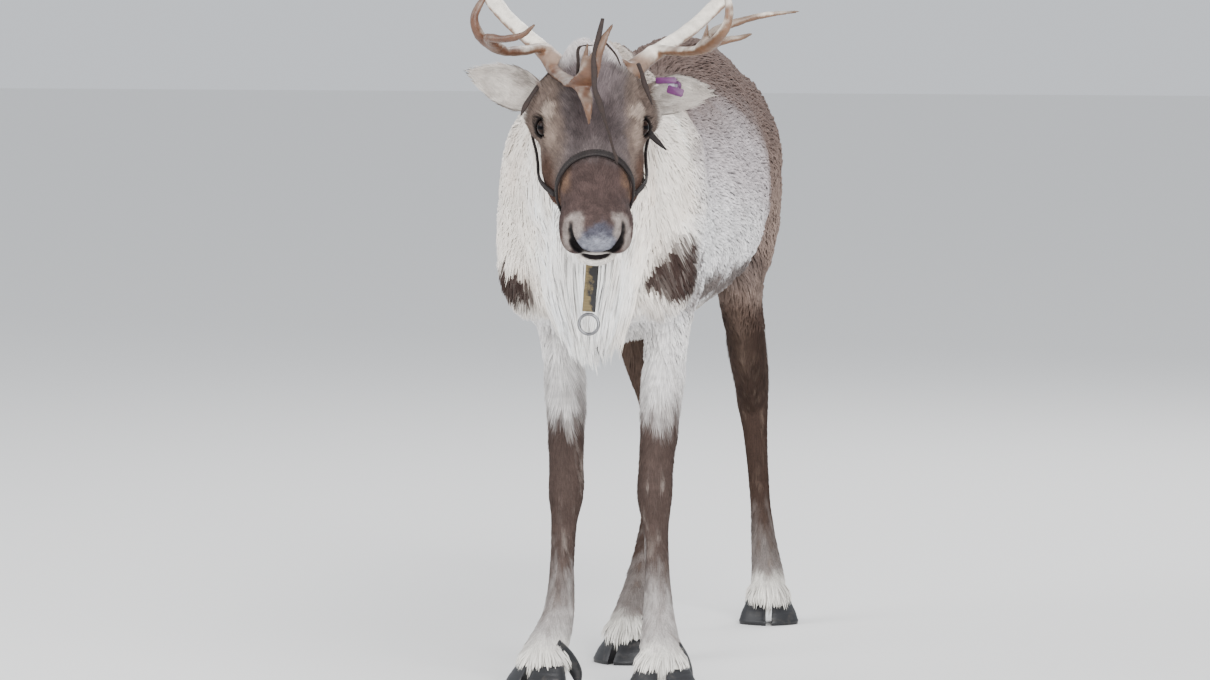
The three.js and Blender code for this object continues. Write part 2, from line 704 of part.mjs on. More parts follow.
// Hooves: two toes to a foot, each a half crescent with a flat sole, and two dewclaws behind.
// In a foot's own place x runs outwards from the cleft and y to the toe's tip.
function hoofShape(scale) {
  const levels = [
    [0, 0.97, 0],
    [7, 1, 0],
    [26, 0.88, -7],
    [HOOF_HEIGHT, 0.66, -17],
  ];
  const steps = 7;
  const points = [];
  for (const [z, part, back] of levels) {
    for (let i = 0; i < 2 * steps; i++) {
      const t = i <= steps ? i / steps : (2 * steps - i) / steps;
      const outer = i > 0 && i < steps;
      const round = Math.sin(Math.PI * t ** 1.15) ** 0.8;
      const x = outer ? HOOF_WIDTH * round : 3 * Math.sin(Math.PI * t);
      const y = HOOF_LENGTH * (t - 0.5);
      points.push([
        scale * (HOOF_CLEFT / 2 + 2 + (x - 4) * part + 4),
        scale * (y * part + back),
        z * (z === 0 ? 1 : scale),
      ]);
    }
  }
  const ring = 2 * steps;
  const faces = [];
  for (let l = 0; l < levels.length - 1; l++) {
    for (let i = 0; i < ring; i++) {
      const j = (i + 1) % ring;
      const low = l * ring;
      const high = low + ring;
      faces.push([low + i, low + j, high + j], [low + i, high + j, high + i]);
    }
  }
  const top = (levels.length - 1) * ring;
  for (let i = 1; i < steps; i++) {
    const [a, b, c, d] = [i, i + 1, ring - i, (ring - i + ring - 1) % ring];
    if (i === 1) {
      faces.push([0, c, a], [top, top + a, top + c]);
    }
    if (i < steps - 1) {
      faces.push([a, c, d], [a, d, b], [top + a, top + d, top + c], [top + a, top + b, top + d]);
    } else {
      faces.push([a, c, steps], [top + a, top + steps, top + c]);
    }
  }
  return { points, faces };
}

function hoof(foot, side) {
  const { points, faces } = hoofShape(foot.scale);
  const turn = THREE.MathUtils.degToRad(foot.turn);
  const put = points.map(([x, y, z]) => {
    const p = new THREE.Vector3(side * x, -y, z).applyAxisAngle(new THREE.Vector3(0, 0, 1), -turn);
    return [p.x + foot.at[0], p.y + foot.at[1], z];
  });
  return solidFrom(put, faces);
}

function dewclaw(foot, side) {
  const turn = THREE.MathUtils.degToRad(foot.turn);
  const path = [
    [20, 26, 84, 11, 10],
    [31, 48, 58, 12, 11],
    [38, 60, 34, 11, 9],
    [41, 64, 16, 6, 5],
  ].map(([x, y, z, a, b]) => {
    const p = new THREE.Vector3(side * x, y, z).multiplyScalar(foot.scale);
    p.applyAxisAngle(new THREE.Vector3(0, 0, 1), -turn);
    return [p.x + foot.at[0], p.y + foot.at[1], p.z, a * foot.scale, b * foot.scale];
  });
  return swept(path, { sides: 6, rings: 4 });
}

// Legs: each is one swept limb, parted at the knee or hock and at the fetlock.
const LEG_JOINTS = { front: [322, 118], hind: [366, 118] };
for (const [place, foot] of Object.entries(FEET)) {
  const [end, side] = place.split("_");
  const stations = (end === "front" ? FORE_LEGS : HIND_LEGS)[side];
  const net = swept(stations, { sides: 12, rings: 2 * stations.length });
  const claws = bothSides((s) => hoof(foot, s));
  const dews = bothSides((s) => dewclaw(foot, s));
  const [knee, fetlock] = LEG_JOINTS[end].map((z) => ({ at: [0, 0, z], normal: [0, 0, 1] }));
  addNode(`${place}_upper_leg`, largest(keepAhead(keepAhead(net, behind(LEG_CUT)), knee)), "leg");
  addNode(`${place}_cannon`, largest(keepAhead(keepAhead(net, behind(knee)), fetlock)), "leg");
  const low = largest(keepAhead(net, behind(fetlock)));
  const pastern = without(low, [...claws, ...dews].map((c) => swollen(c)));
  addNode(`${place}_pastern`, pastern, "leg");
  ["outer", "inner"].forEach((which, i) => {
    const at = side === "left" ? i : 1 - i;
    addNode(`${place}_hoof_${which}`, claws[at], "hoof");
    addNode(`${place}_dewclaw_${which}`, dews[at], "hoof");
  });
}

// Ears: leaf-shaped cups, closed like a funnel at the root and open towards the tip.
function ear(root, tip, open) {
  const way = vec(tip).sub(vec(root));
  const length = way.length();
  way.normalize();
  const face = vec(open).addScaledVector(way, -vec(open).dot(way)).normalize();
  const across = new THREE.Vector3().crossVectors(way, face);
  const rows = [
    [-0.16, 0.2, 2.5, 0],
    [0.02, 0.27, 2.3, 0],
    [0.16, 0.38, 1.75, 0],
    [0.34, 0.5, 1.3, 0],
    [0.52, 0.52, 1.05, 0.01],
    [0.7, 0.45, 0.95, 0.03],
    [0.86, 0.3, 0.9, 0.06],
    [0.96, 0.13, 0.9, 0.09],
    [1, 0.03, 0.9, 0.1],
  ];
  const steps = 7;
  const points = [];
  for (const [t, half, spread, curl] of rows) {
    const radius = (half * EAR_WIDTH) / Math.min(Math.sin(Math.min(spread, Math.PI / 2)), 1);
    const thick = Math.min(6.5, radius * 0.5);
    for (const r of [radius, radius - thick]) {
      for (let i = 0; i <= steps; i++) {
        const k = r === radius ? i : steps - i;
        const angle = spread * ((2 * k) / steps - 1) * (r === radius ? 1 : 0.97);
        const lift = radius * Math.cos(Math.min(spread, 1.2)) * 0.6;
        points.push(
          vec(root)
            .addScaledVector(way, t * length)
            .addScaledVector(across, r * Math.sin(angle))
            .addScaledVector(face, lift + curl * length - r * Math.cos(angle))
            .toArray(),
        );
      }
    }
  }
  const ring = 2 * (steps + 1);
  const faces = [];
  for (let l = 0; l < rows.length - 1; l++) {
    for (let i = 0; i < ring; i++) {
      const a = l * ring + i;
      const b = l * ring + ((i + 1) % ring);
      faces.push([a, b, b + ring], [a, b + ring, a + ring]);
    }
  }
  const top = (rows.length - 1) * ring;
  for (let i = 0; i < steps; i++) {
    const [a, b, c, d] = [i, i + 1, ring - 2 - i, ring - 1 - i];
    faces.push([a, c, b], [a, d, c], [top + a, top + b, top + c], [top + a, top + c, top + d]);
  }
  return solidFrom(points, faces);
}
const EARS = {
  ear_right: { root: [-10, -382, 1001], tip: [-142, -338, 1044], open: [-0.25, -0.93, 0.15] },
  ear_left: { root: [131, -348, 1000], tip: [231, -262, 1014], open: [0.35, -0.8, -0.35] },
};

// Ear tag: two bare plates on the left ear's upper edge, held together by a pin through the ear.
const slab = (size, at) => solidOf(new THREE.BoxGeometry(...size).translate(...at));
const tag = joined([
  slab([34, 4, 9], [176, -340, 1034]),
  slab([26, 4, 14], [192, -339, 1016]),
  slab([10, 4, 20], [184, -339, 1025]),
  solidOf(new THREE.CylinderGeometry(3, 3, 44, 8).translate(186, -319, 1024)),
  solidOf(new THREE.CylinderGeometry(8, 8, 4, 10).translate(186, -300, 1024)),
]);
for (const [name, { root, tip, open }] of Object.entries(EARS)) {
  const cuts = name === "ear_left" ? [headPlace, swollen(tag)] : [headPlace];
  addNode(name, without(ear(root, tip, open), cuts), "face");
}
addNode("ear_tag", tag, "tag");

// Antlers: flattened beams and tines, parted where they fork.
const RIGHT_BEAM = [
  [14, -346, 1024, 19, 17],
  [0, -336, 1052, 19, 17],
  [-31, -312, 1080, 14, 12],
  [-78, -270, 1112, 13, 11],
  [-125, -228, 1150, 13, 10],
  [-186, -168, 1228, 13, 10],
  [-244, -112, 1330, 12, 10],
  [-272, -92, 1440, 13, 9],
  [-262, -122, 1545, 18, 8],
  [-226, -186, 1622, 26, 7],
  [-196, -232, 1650, 20, 6],
];
const LEFT_BEAM = [
  [100, -326, 1018, 19, 17],
  [114, -314, 1044, 19, 17],
  [135, -279, 1068, 15, 12],
  [166, -233, 1092, 14, 11],
  [197, -176, 1121, 13, 10],
  [252, -86, 1192, 13, 10],
  [312, -8, 1300, 12, 10],
  [342, 22, 1412, 13, 9],
  [336, -4, 1520, 18, 8],
  [304, -66, 1602, 26, 7],
  [278, -112, 1632, 20, 6],
];
const RIGHT_TINES = {
  brow: [
    [
      [-6, -340, 1052, 13, 9],
      [1, -366, 1048, 13, 8],
      [32, -422, 1036, 14, 6],
      [66, -496, 1032, 20, 5],
      [88, -523, 1050, 15, 4],
      [102, -530, 1083, 9, 4],
      [114, -528, 1109, 6, 3],
      [122, -516, 1126, 1, 1],
    ],
    [
      [62, -490, 1034, 12, 4],
      [80, -518, 1014, 11, 4],
      [87, -533, 992, 7, 3],
      [86, -523, 971, 1, 1],
    ],
    [
      [74, -508, 1040, 8, 4],
      [78, -524, 1066, 5, 3],
      [86, -532, 1096, 1, 1],
    ],
  ],
  bez: [
    [
      [-26, -318, 1080, 12, 9],
      [-32, -332, 1084, 11, 8],
      [-53, -387, 1081, 11, 8],
      [-77, -443, 1084, 10, 7],
      [-97, -487, 1107, 9, 7],
      [-104, -499, 1135, 7, 6],
      [-92, -487, 1166, 5, 4],
      [-70, -470, 1196, 1, 1],
    ],
    [
      [-74, -440, 1086, 9, 7],
      [-76, -524, 1105, 8, 7],
      [-42, -558, 1104, 7, 6],
      [-10, -572, 1111, 5, 5],
      [11, -579, 1128, 1, 1],
    ],
  ],
};
const LEFT_TINES = {
  brow: [
    [
      [114, -318, 1052, 10, 8],
      [108, -328, 1058, 8, 6],
      [100, -337, 1068, 1, 1],
    ],
  ],
  bez: [
    [
      [140, -262, 1076, 12, 9],
      [160, -274, 1080, 11, 8],
      [204, -317, 1079, 11, 8],
      [241, -361, 1086, 11, 8],
      [270, -396, 1103, 9, 7],
      [288, -413, 1126, 8, 6],
      [291, -412, 1148, 7, 5],
      [284, -403, 1178, 5, 4],
      [270, -392, 1206, 1, 1],
    ],
    [
      [238, -358, 1088, 9, 7],
      [260, -357, 1113, 8, 7],
      [288, -341, 1126, 7, 6],
      [326, -324, 1137, 5, 5],
      [384, -292, 1144, 1, 1],
    ],
    [
      [246, -364, 1088, 8, 6],
      [273, -375, 1098, 7, 6],
      [301, -369, 1103, 5, 5],
      [317, -356, 1109, 1, 1],
    ],
    [
      [244, -366, 1092, 8, 6],
      [247, -374, 1106, 5, 4],
      [250, -379, 1124, 1, 1],
    ],
  ],
};
// The tines of the top, each from the beam: [x, y, z, half width, half depth].
const RIGHT_TOP = {
  rear: [[[-252, -106, 1366, 9, 7], [-272, -62, 1384, 6, 5], [-286, -22, 1418, 1, 1]]],
  crown: [
    [[-246, -156, 1580, 14, 6], [-276, -190, 1636, 8, 5], [-280, -216, 1690, 1, 1]],
    [[-222, -192, 1624, 12, 6], [-232, -236, 1672, 7, 4], [-226, -270, 1712, 1, 1]],
  ],
};
const LEFT_TOP = {
  rear: [[[318, -2, 1340, 9, 7], [338, 42, 1356, 6, 5], [356, 82, 1388, 1, 1]]],
  crown: [
    [[322, -34, 1556, 14, 6], [352, -62, 1612, 8, 5], [360, -84, 1664, 1, 1]],
    [[302, -70, 1602, 12, 6], [312, -116, 1650, 7, 4], [308, -150, 1690, 1, 1]],
  ],
};
const BEAM_CUTS = { left: { at: [225, -130, 1155] }, right: { at: [-155, -200, 1188] } };

function antler(side, beamPath, tines, top) {
  const beam = without(swept(beamPath, { sides: 8, rings: 15 }), [headPlace]);
  const along = side === "left" ? [0.42, 0.68, 0.6] : [-0.5, 0.5, 0.7];
  const cut = { at: BEAM_CUTS[side].at, normal: along };
  const lower = largest(keepAhead(beam, behind(cut)));
  const upper = largest(keepAhead(beam, cut));
  const tubes = (paths) => joined(paths.map((p) => swept(p, { sides: 6, rings: p.length })));
  const beamPlace = swollen(beam);
  addNode(`antler_${side}_lower_beam`, lower, "antler");
  addNode(`antler_${side}_upper_beam`, upper, "antler");
  const brow = without(tubes(tines.brow), [beamPlace, headPlace]);
  addNode(`antler_${side}_brow_tine`, brow, "antler");
  addNode(`antler_${side}_bez_tine`, without(tubes(tines.bez), [beamPlace, swollen(brow)]), "antler");
  addNode(`antler_${side}_rear_tine`, without(tubes(top.rear), [beamPlace]), "antler");
  top.crown.forEach((path, i) => {
    addNode(`antler_${side}_crown_tine_${i + 1}`, without(tubes([path]), [beamPlace]), "antler");
  });
}
antler("left", LEFT_BEAM, LEFT_TINES, LEFT_TOP);
antler("right", RIGHT_BEAM, RIGHT_TINES, RIGHT_TOP);

// A strap lying on the head: points given as places in the head and ways out of it.
// Its section is a flat rectangle that clears the short hair by a hair's breadth.
function strap(path, { width = STRAP_WIDTH, thick = STRAP_THICK, closed = false } = {}) {
  const spots = path.map(([from, way]) => vec(leaves(headField, from, way)));
  const n = spots.length;
  const points = [];
  spots.forEach((p, i) => {
    const next = spots[closed ? (i + 1) % n : Math.min(i + 1, n - 1)];
    const last = spots[closed ? (i + n - 1) % n : Math.max(i - 1, 0)];
    const along = next.clone().sub(last).normalize();
    const out = [0, 1, 2].map((k) => {
      const q = p.toArray();
      q[k] += 1;
      return headField(...q) - headField(...p.toArray());
    });
    const up = vec(out).addScaledVector(along, -vec(out).dot(along)).normalize();
    const across = new THREE.Vector3().crossVectors(along, up);
    const top = STRAP_LIFT + thick;
    for (const [a, b] of [[-1, STRAP_LIFT], [1, STRAP_LIFT], [1, top], [-1, top]]) {
      points.push(p.clone().addScaledVector(across, (a * width) / 2).addScaledVector(up, b).toArray());
    }
  });
  const faces = [];
  for (let i = 0; i < (closed ? n : n - 1); i++) {
    for (let k = 0; k < 4; k++) {
      const a = i * 4 + k;
      const b = i * 4 + ((k + 1) % 4);
      const c = ((i + 1) % n) * 4 + k;
      const d = ((i + 1) % n) * 4 + ((k + 1) % 4);
      faces.push([a, b, d], [a, d, c]);
    }
  }
  if (!closed) {
    const e = (n - 1) * 4;
    faces.push([0, 2, 1], [0, 3, 2], [e, e + 1, e + 2], [e, e + 2, e + 3]);
  }
  return solidFrom(points, faces);
}

// Halter: a band round the nose, a strap up each cheek and one over the poll behind the ears.
const around = (count, place) => Array.from({ length: count }, (_, i) => place((i / count) * 2 * Math.PI));
const noseband = strap(
  around(28, (a) => {
    const u = mix(160, 94, (1 + Math.cos(a)) / 2);
    return [onHead(u, 0, -14), headWay(0, Math.sin(a), Math.cos(a))];
  }),
  { closed: true },
);
addNode("halter_noseband", noseband, "strap");

const cheekWay = [
  [114, -14],
  [92, -19],
  [66, -25],
  [40, -30],
  [14, -33],
  [-14, -34],
  [-42, -31],
  [-66, -26],
];
function cheekStrap(s) {
  const path = cheekWay.map(([u, angle]) => {
    const a = THREE.MathUtils.degToRad(angle);
    return [onHead(u, 0, -10), headWay(0, s * Math.cos(a), Math.sin(a))];
  });
  return strap(path, { width: 9 });
}
["halter_cheek_left", "halter_cheek_right"].forEach((name, i) => {
  addNode(name, without(cheekStrap([1, -1][i]), [swollen(noseband)]), "strap");
});

// Ring: hangs face on below the halter's drop, a flat strap sewn round it and round the noseband.
const ringAt = [71, -449, 648];
const ring = solidOf(
  new THREE.TorusGeometry(RING_RADIUS, RING_WIRE, 6, 18).rotateX(Math.PI / 2).translate(...ringAt),
);
const drop = swept(
  [
    [80, -449, 792, 10.5, 4],
    [79, -450, 770, 10.5, 2],
    [76, -451, 724, 10.5, 2],
    [72, -449, 682, 10.5, 2],
    [71, -449, 664, 10.5, 6],
    [71, -449, 656, 10, 3],
  ],
  { sides: 8, rings: 8 },
);
addNode("halter_drop", without(drop, [swollen(noseband), swollen(ring), headPlace]), "strap");
addNode("halter_ring", ring, "steel");

export default figure;
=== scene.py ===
# A standing reindeer in its autumn coat, life size, as a museum figure.
# Metres, +Z up, the animal faces -Y. Anatomy is given in millimetres from a zero between the fore feet.
import math

import bmesh
import bpy
import numpy as np
from mathutils import Matrix, Vector
from mathutils.kdtree import KDTree


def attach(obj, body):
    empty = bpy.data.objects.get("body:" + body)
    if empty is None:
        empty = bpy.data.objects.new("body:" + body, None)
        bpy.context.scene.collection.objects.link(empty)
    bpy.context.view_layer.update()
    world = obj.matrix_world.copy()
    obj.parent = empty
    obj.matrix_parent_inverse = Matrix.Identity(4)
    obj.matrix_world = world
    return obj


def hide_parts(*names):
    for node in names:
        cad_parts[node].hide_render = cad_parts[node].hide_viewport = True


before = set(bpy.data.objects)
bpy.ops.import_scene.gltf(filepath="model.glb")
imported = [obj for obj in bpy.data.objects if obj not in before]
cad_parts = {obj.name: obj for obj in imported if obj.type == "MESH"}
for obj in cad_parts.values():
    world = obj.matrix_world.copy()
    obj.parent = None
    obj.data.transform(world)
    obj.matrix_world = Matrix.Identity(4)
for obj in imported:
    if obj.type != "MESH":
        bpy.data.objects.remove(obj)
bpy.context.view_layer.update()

# Skin of the whole animal
# The hide under the hair, from the nose to the fetlocks, with the lids, nostrils, lips and mouth line.
# It is one closed surface that lies inside the outer line of the coat by the depth of the hair.
# SHIFT moves the anatomy's zero to the frame's, which lies under the middle of the whole figure.
# The head turns about the middle between the eyes: HEADING to its left, and PITCH down from level.
SHIFT = np.array([-48.7, -234.2, 0.0])
EYE_MIDDLE = np.array([67.0, -394.0, 956.0])
HEADING = math.radians(13.5)
PITCH = math.radians(46.3)
AHEAD = (math.sin(HEADING), -math.cos(HEADING))
HEAD_AXES = np.array([
    [math.cos(PITCH) * AHEAD[0], math.cos(PITCH) * AHEAD[1], -math.sin(PITCH)],
    [math.cos(HEADING), math.sin(HEADING), 0.0],
    [math.sin(PITCH) * AHEAD[0], math.sin(PITCH) * AHEAD[1], math.cos(PITCH)],
])


def metres(points):
    return (np.asarray(points, float) + SHIFT) / 1000


def on_head(points):
    """From the head's own places (down the face, left, out of the forehead) to the body's."""
    return np.asarray(points, float) @ HEAD_AXES + EYE_MIDDLE


def in_head(points):
    return (np.asarray(points, float) - EYE_MIDDLE) @ HEAD_AXES.T


def unit(v):
    return v / np.maximum(np.linalg.norm(v, axis=-1, keepdims=True), 1e-9)


def ease(x, low, high):
    """0 below low, 1 above high and smooth between them."""
    t = np.clip((np.asarray(x, float) - low) / (high - low), 0, 1)
    return t * t * (3 - 2 * t)


def curve(points, count, closed=False):
    """Places evenly spaced in parameter on a smooth curve; columns past the third are sizes."""
    points = np.asarray(points, float)
    n = len(points)
    spans = n if closed else n - 1
    out = []
    for k in range(count + (0 if closed else 1)):
        at = k / count * spans
        i = min(int(at), spans - 1)
        t = at - i
        b, c = points[i], points[(i + 1) % n]
        a = points[(i - 1) % n] if closed or i > 0 else 2 * b - c
        d = points[(i + 2) % n] if closed or i + 2 < n else 2 * c - b
        p = np.zeros(points.shape[1])
        for part, power in ((slice(0, 3), 0.5), (slice(3, None), 0.0)):
            gaps = []
            for one, two in ((a, b), (b, c), (c, d)):
                gaps.append(max(np.linalg.norm(two[:3] - one[:3]), 1e-6) ** power)
            g0, g1, g2 = gaps
            m1 = ((b - a) / g0 - (c - a) / (g0 + g1) + (c - b) / g1) * g1
            m2 = ((c - b) / g1 - (d - b) / (g1 + g2) + (d - c) / g2) * g1
            if power == 0:
                m1, m2 = (c - a) / 2, (d - b) / 2
            cubic = b + m1 * t + (3 * (c - b) - 2 * m1 - m2) * t**2 + (2 * (b - c) + m1 + m2) * t**3
            p[part] = cubic[part]
        out.append(p)
    return np.array(out)


def ball(centre, radii):
    """An ellipsoid: its lowest and highest corner and the distance of points to it."""
    centre = np.array(centre, float)
    radii = np.array(radii, float)

    def at(p):
        d = p - centre
        first = ((d / radii) ** 2).sum(-1)
        second = ((d / radii**2) ** 2).sum(-1)
        k = np.sqrt(first)
        return k * (k - 1) / np.sqrt(np.maximum(second, 1e-12))

    return [(centre - radii, centre + radii, at)]


def limb(stations, side=(1, 0, 0), pieces=5, closed=False):
    """A bent limb of oval section through stations (x, y, z, half width, half depth)."""
    spots = curve(stations, (len(stations) - (0 if closed else 1)) * pieces, closed)
    if closed:
        spots = np.vstack([spots, spots[:1]])
    side = unit(np.array(side, float))
    spans = []
    for one, two in zip(spots[:-1], spots[1:]):
        run = two[:3] - one[:3]
        length = np.linalg.norm(run)
        t = run / length
        v = unit(side - t * (side @ t))
        w = np.cross(t, v)

        def at(p, one=one, two=two, t=t, v=v, w=w, length=length):
            d = p - one[:3]
            along = d @ t
            h = np.clip(along, 0, length)
            a = one[3] + (two[3] - one[3]) * h / length
            b = one[4] + (two[4] - one[4]) * h / length
            c = np.minimum(a, b)
            x, y, e = d @ v, d @ w, along - h
            first = (x / a) ** 2 + (y / b) ** 2 + (e / c) ** 2
            second = (x / a**2) ** 2 + (y / b**2) ** 2 + (e / c**2) ** 2
            k = np.sqrt(first)
            return k * (k - 1) / np.sqrt(np.maximum(second, 1e-12))

        reach = max(one[3], one[4], two[3], two[4])
        low = np.minimum(one[:3], two[:3]) - reach
        high = np.maximum(one[:3], two[:3]) + reach
        spans.append((low, high, at))
    return spans


def grid(low, high, step):
    counts = [int(math.ceil((b - a) / step)) + 1 for a, b in zip(low, high)]
    return [a + step * np.arange(n) for a, n in zip(low, counts)]


def places(axes):
    return np.stack(np.meshgrid(*axes, indexing="ij"), -1)


def blended(parts, axes, margin=14):
    """Distances on a grid to parts joined one after another, each with its own softness.
    A part with a negative softness is carved out instead."""
    d = np.full([len(a) for a in axes], 1e3)
    for spans, soft in parts:
        join(d, spans, soft, axes, margin)
    return d


def join(d, spans, soft, axes, margin=14):
    """Joins one part to the distances on a grid, or carves it out where its softness is negative."""
    step = axes[0][1] - axes[0][0]
    k = abs(soft)

    def cut(low, high, start=(0, 0, 0)):
        lines = []
        for i in range(3):
            first = int((low[i] - k - margin - axes[i][0]) // step)
            last = int((high[i] + k + margin - axes[i][0]) // step) + 2
            lines.append(slice(max(first, 0) - start[i], max(min(last, d.shape[i]), 0) - start[i]))
        return tuple(lines)

    whole = cut(np.min([s[0] for s in spans], 0), np.max([s[1] for s in spans], 0))
    start = [c.start for c in whole]
    part = d[whole]
    if not part.size:
        return
    e = np.full(part.shape, 1e3)
    for low, high, at in spans:
        inner = cut(low, high, start)
        some = places([a[c][n] for a, c, n in zip(axes, whole, inner)])
        if some.size:
            e[inner] = np.minimum(e[inner], at(some))
    if soft < 0:
        h = np.maximum(k - np.abs(part + e), 0) / k
        d[whole] = np.maximum(part, -e) + h * h * k / 4
    else:
        h = np.maximum(k - np.abs(part - e), 0) / k
        d[whole] = np.minimum(part, e) - h * h * k / 4


def netted(value, axes):
    """The closed surface where the values on a grid pass through nought, as points and quads."""
    low = np.array([a[0] for a in axes])
    step = axes[0][1] - axes[0][0]
    for i in range(3):
        for edge in (0, -1):
            border = [slice(None)] * 3
            border[i] = edge
            value[tuple(border)] = np.maximum(value[tuple(border)], step / 2)
    inside = value < 0
    spots, cells = [], []
    for axis in range(3):
        here = [slice(None)] * 3
        there = [slice(None)] * 3
        here[axis] = slice(0, -1)
        there[axis] = slice(1, None)
        ijk = np.argwhere(inside[tuple(here)] != inside[tuple(there)])
        b, c = (axis + 1) % 3, (axis + 2) % 3
        after = ijk.copy()
        after[:, axis] += 1
        f, g = value[tuple(ijk.T)], value[tuple(after.T)]
        spot = ijk.astype(float)
        spot[:, axis] += f / (f - g)
        four = []
        for db, dc in ((-1, -1), (0, -1), (0, 0), (-1, 0)):
            q = ijk.copy()
            q[:, b] += db
            q[:, c] += dc
            four.append(np.ravel_multi_index(q.T, value.shape))
        four = np.stack(four, 1)
        four[f > 0] = four[f > 0][:, ::-1]
        spots.append(spot)
        cells.append(four)
    spots = np.vstack(spots)
    cells = np.vstack(cells)
    ids, quads = np.unique(cells, return_inverse=True)
    quads = quads.reshape(cells.shape)
    count = np.bincount(quads.ravel())
    mean = [np.bincount(quads.ravel(), np.repeat(spots[:, i], 4)) / count for i in range(3)]
    return low + step * np.stack(mean, 1), quads


def lattice(cells, seed):
    """A repeatable number from 0 to 1 for every whole place."""
    h = cells[..., 0] * 374761393 + cells[..., 1] * 668265263 + cells[..., 2] * 1274126177 + seed * 974711
    h = (h ^ (h >> 13)) * 1103515245 & 0x7FFFFFFF
    h = (h ^ (h >> 11)) * 668265263 & 0x7FFFFFFF
    return (h & 0xFFFFF) / 0xFFFFF


def cloud(p, size, seed):
    """Smooth noise from -1 to 1 that changes over about size millimetres."""
    q = p / size
    base = np.floor(q).astype(np.int64)
    t = q - base
    t = t * t * (3 - 2 * t)
    total = 0
    for corner in range(8):
        bit = np.array([corner & 1, corner >> 1 & 1, corner >> 2 & 1])
        weight = np.where(bit, t, 1 - t).prod(-1)
        total = total + weight * lattice(base + bit, seed)
    return 2 * total - 1


def mirrored(make):
    return [make(1), make(-1)]


# Stations along the body's forms: a place on the middle line, and the section's half width and half depth.
TRUNK = [
    (0, -40, 800, 122, 166), (0, 10, 812, 150, 214), (0, 90, 812, 168, 232), (0, 250, 808, 196, 226),
    (0, 450, 804, 210, 221), (0, 620, 828, 193, 216), (0, 750, 862, 164, 208), (0, 850, 878, 140, 184),
    (0, 908, 880, 98, 138),
]
NECK = [
    (0, 20, 850, 150, 205), (4, -70, 862, 136, 186), (18, -170, 900, 112, 150), (36, -262, 944, 92, 116),
    (50, -330, 976, 78, 92),
]
MANE = [
    (48, -318, 890, 48, 36), (38, -290, 812, 56, 50), (26, -252, 744, 58, 54), (18, -222, 692, 46, 42),
    (14, -210, 668, 28, 26),
]
FORE_LEFT = [
    (104, 84, 680, 60, 92), (102, 72, 600, 48, 66), (97, 42, 480, 37, 44), (94, 18, 385, 33, 37),
    (93, 10, 330, 34, 37), (95, 8, 282, 27, 28), (98, 4, 215, 25, 26), (102, -2, 132, 30, 32),
    (109, -28, 92, 36, 33), (116, -54, 62, 41, 35),
]
FORE_RIGHT = [
    (-92, 84, 680, 58, 92), (-80, 72, 600, 46, 66), (-65, 42, 480, 36, 44), (-60, 18, 388, 33, 37),
    (-58, 10, 333, 34, 37), (-61, 8, 284, 27, 28), (-64, 4, 215, 25, 26), (-68, -2, 132, 30, 32),
    (-76, -26, 92, 36, 33), (-86, -50, 62, 41, 35),
]
HIND_LEFT = [
    (92, 800, 880, 78, 150), (98, 784, 760, 74, 138), (104, 780, 650, 54, 92), (104, 852, 548, 40, 62),
    (96, 962, 450, 33, 46), (91, 1008, 404, 32, 42), (97, 1004, 340, 26, 30), (108, 992, 220, 23, 26),
    (118, 982, 132, 29, 31), (125, 972, 90, 34, 31), (129, 956, 60, 37, 32),
]
HIND_RIGHT = [
    (-92, 776, 880, 78, 150), (-94, 705, 770, 74, 132), (-88, 622, 672, 54, 86), (-56, 600, 560, 38, 58),
    (-14, 586, 440, 32, 46), (2, 570, 388, 32, 42), (2, 538, 325, 26, 30), (-4, 476, 212, 23, 26),
    (-12, 422, 128, 29, 31), (-17, 394, 90, 34, 31), (-23, 368, 60, 37, 32),
]
TAIL = [
    (0, 950, 966, 42, 26), (0, 996, 942, 40, 25), (0, 1024, 902, 34, 21), (0, 1034, 858, 20, 14),
    (0, 1034, 830, 6, 5),
]
trunk_parts = [(limb(TRUNK), 1)]
for s in (1, -1):
    trunk_parts += [(ball((s * 110, 36, 790), (58, 118, 172)), 60)]
    trunk_parts += [(ball((s * 108, -22, 716), (58, 84, 92)), 50)]
trunk_parts += [(ball((0, -70, 706), (96, 92, 96)), 60), (ball((0, 100, 990), (58, 190, 102)), 50)]
trunk_parts += mirrored(lambda s: (ball((s * 90, 836, 806), (78, 150, 190)), 50))
trunk_parts += [(ball((0, 720, 968), (98, 200, 114)), 50)]
leg_parts = [(limb(one), 34) for one in (FORE_LEFT, FORE_RIGHT, HIND_LEFT, HIND_RIGHT)]
mane_parts = [(limb(MANE), 34), (ball((12, -150, 736), (80, 82, 82)), 50)]

# The head's forms in its own places: down the face, left, out of the forehead.
SNOUT = [(0, 0, 2, 68, 58), (70, 0, -2, 62, 54), (130, 0, -10, 57, 50), (186, 0, -14, 54, 48)]
JAW = [(-40, 0, -84, 52, 26), (60, 0, -66, 44, 24), (140, 0, -60, 38, 22), (196, 0, -62, 34, 19)]


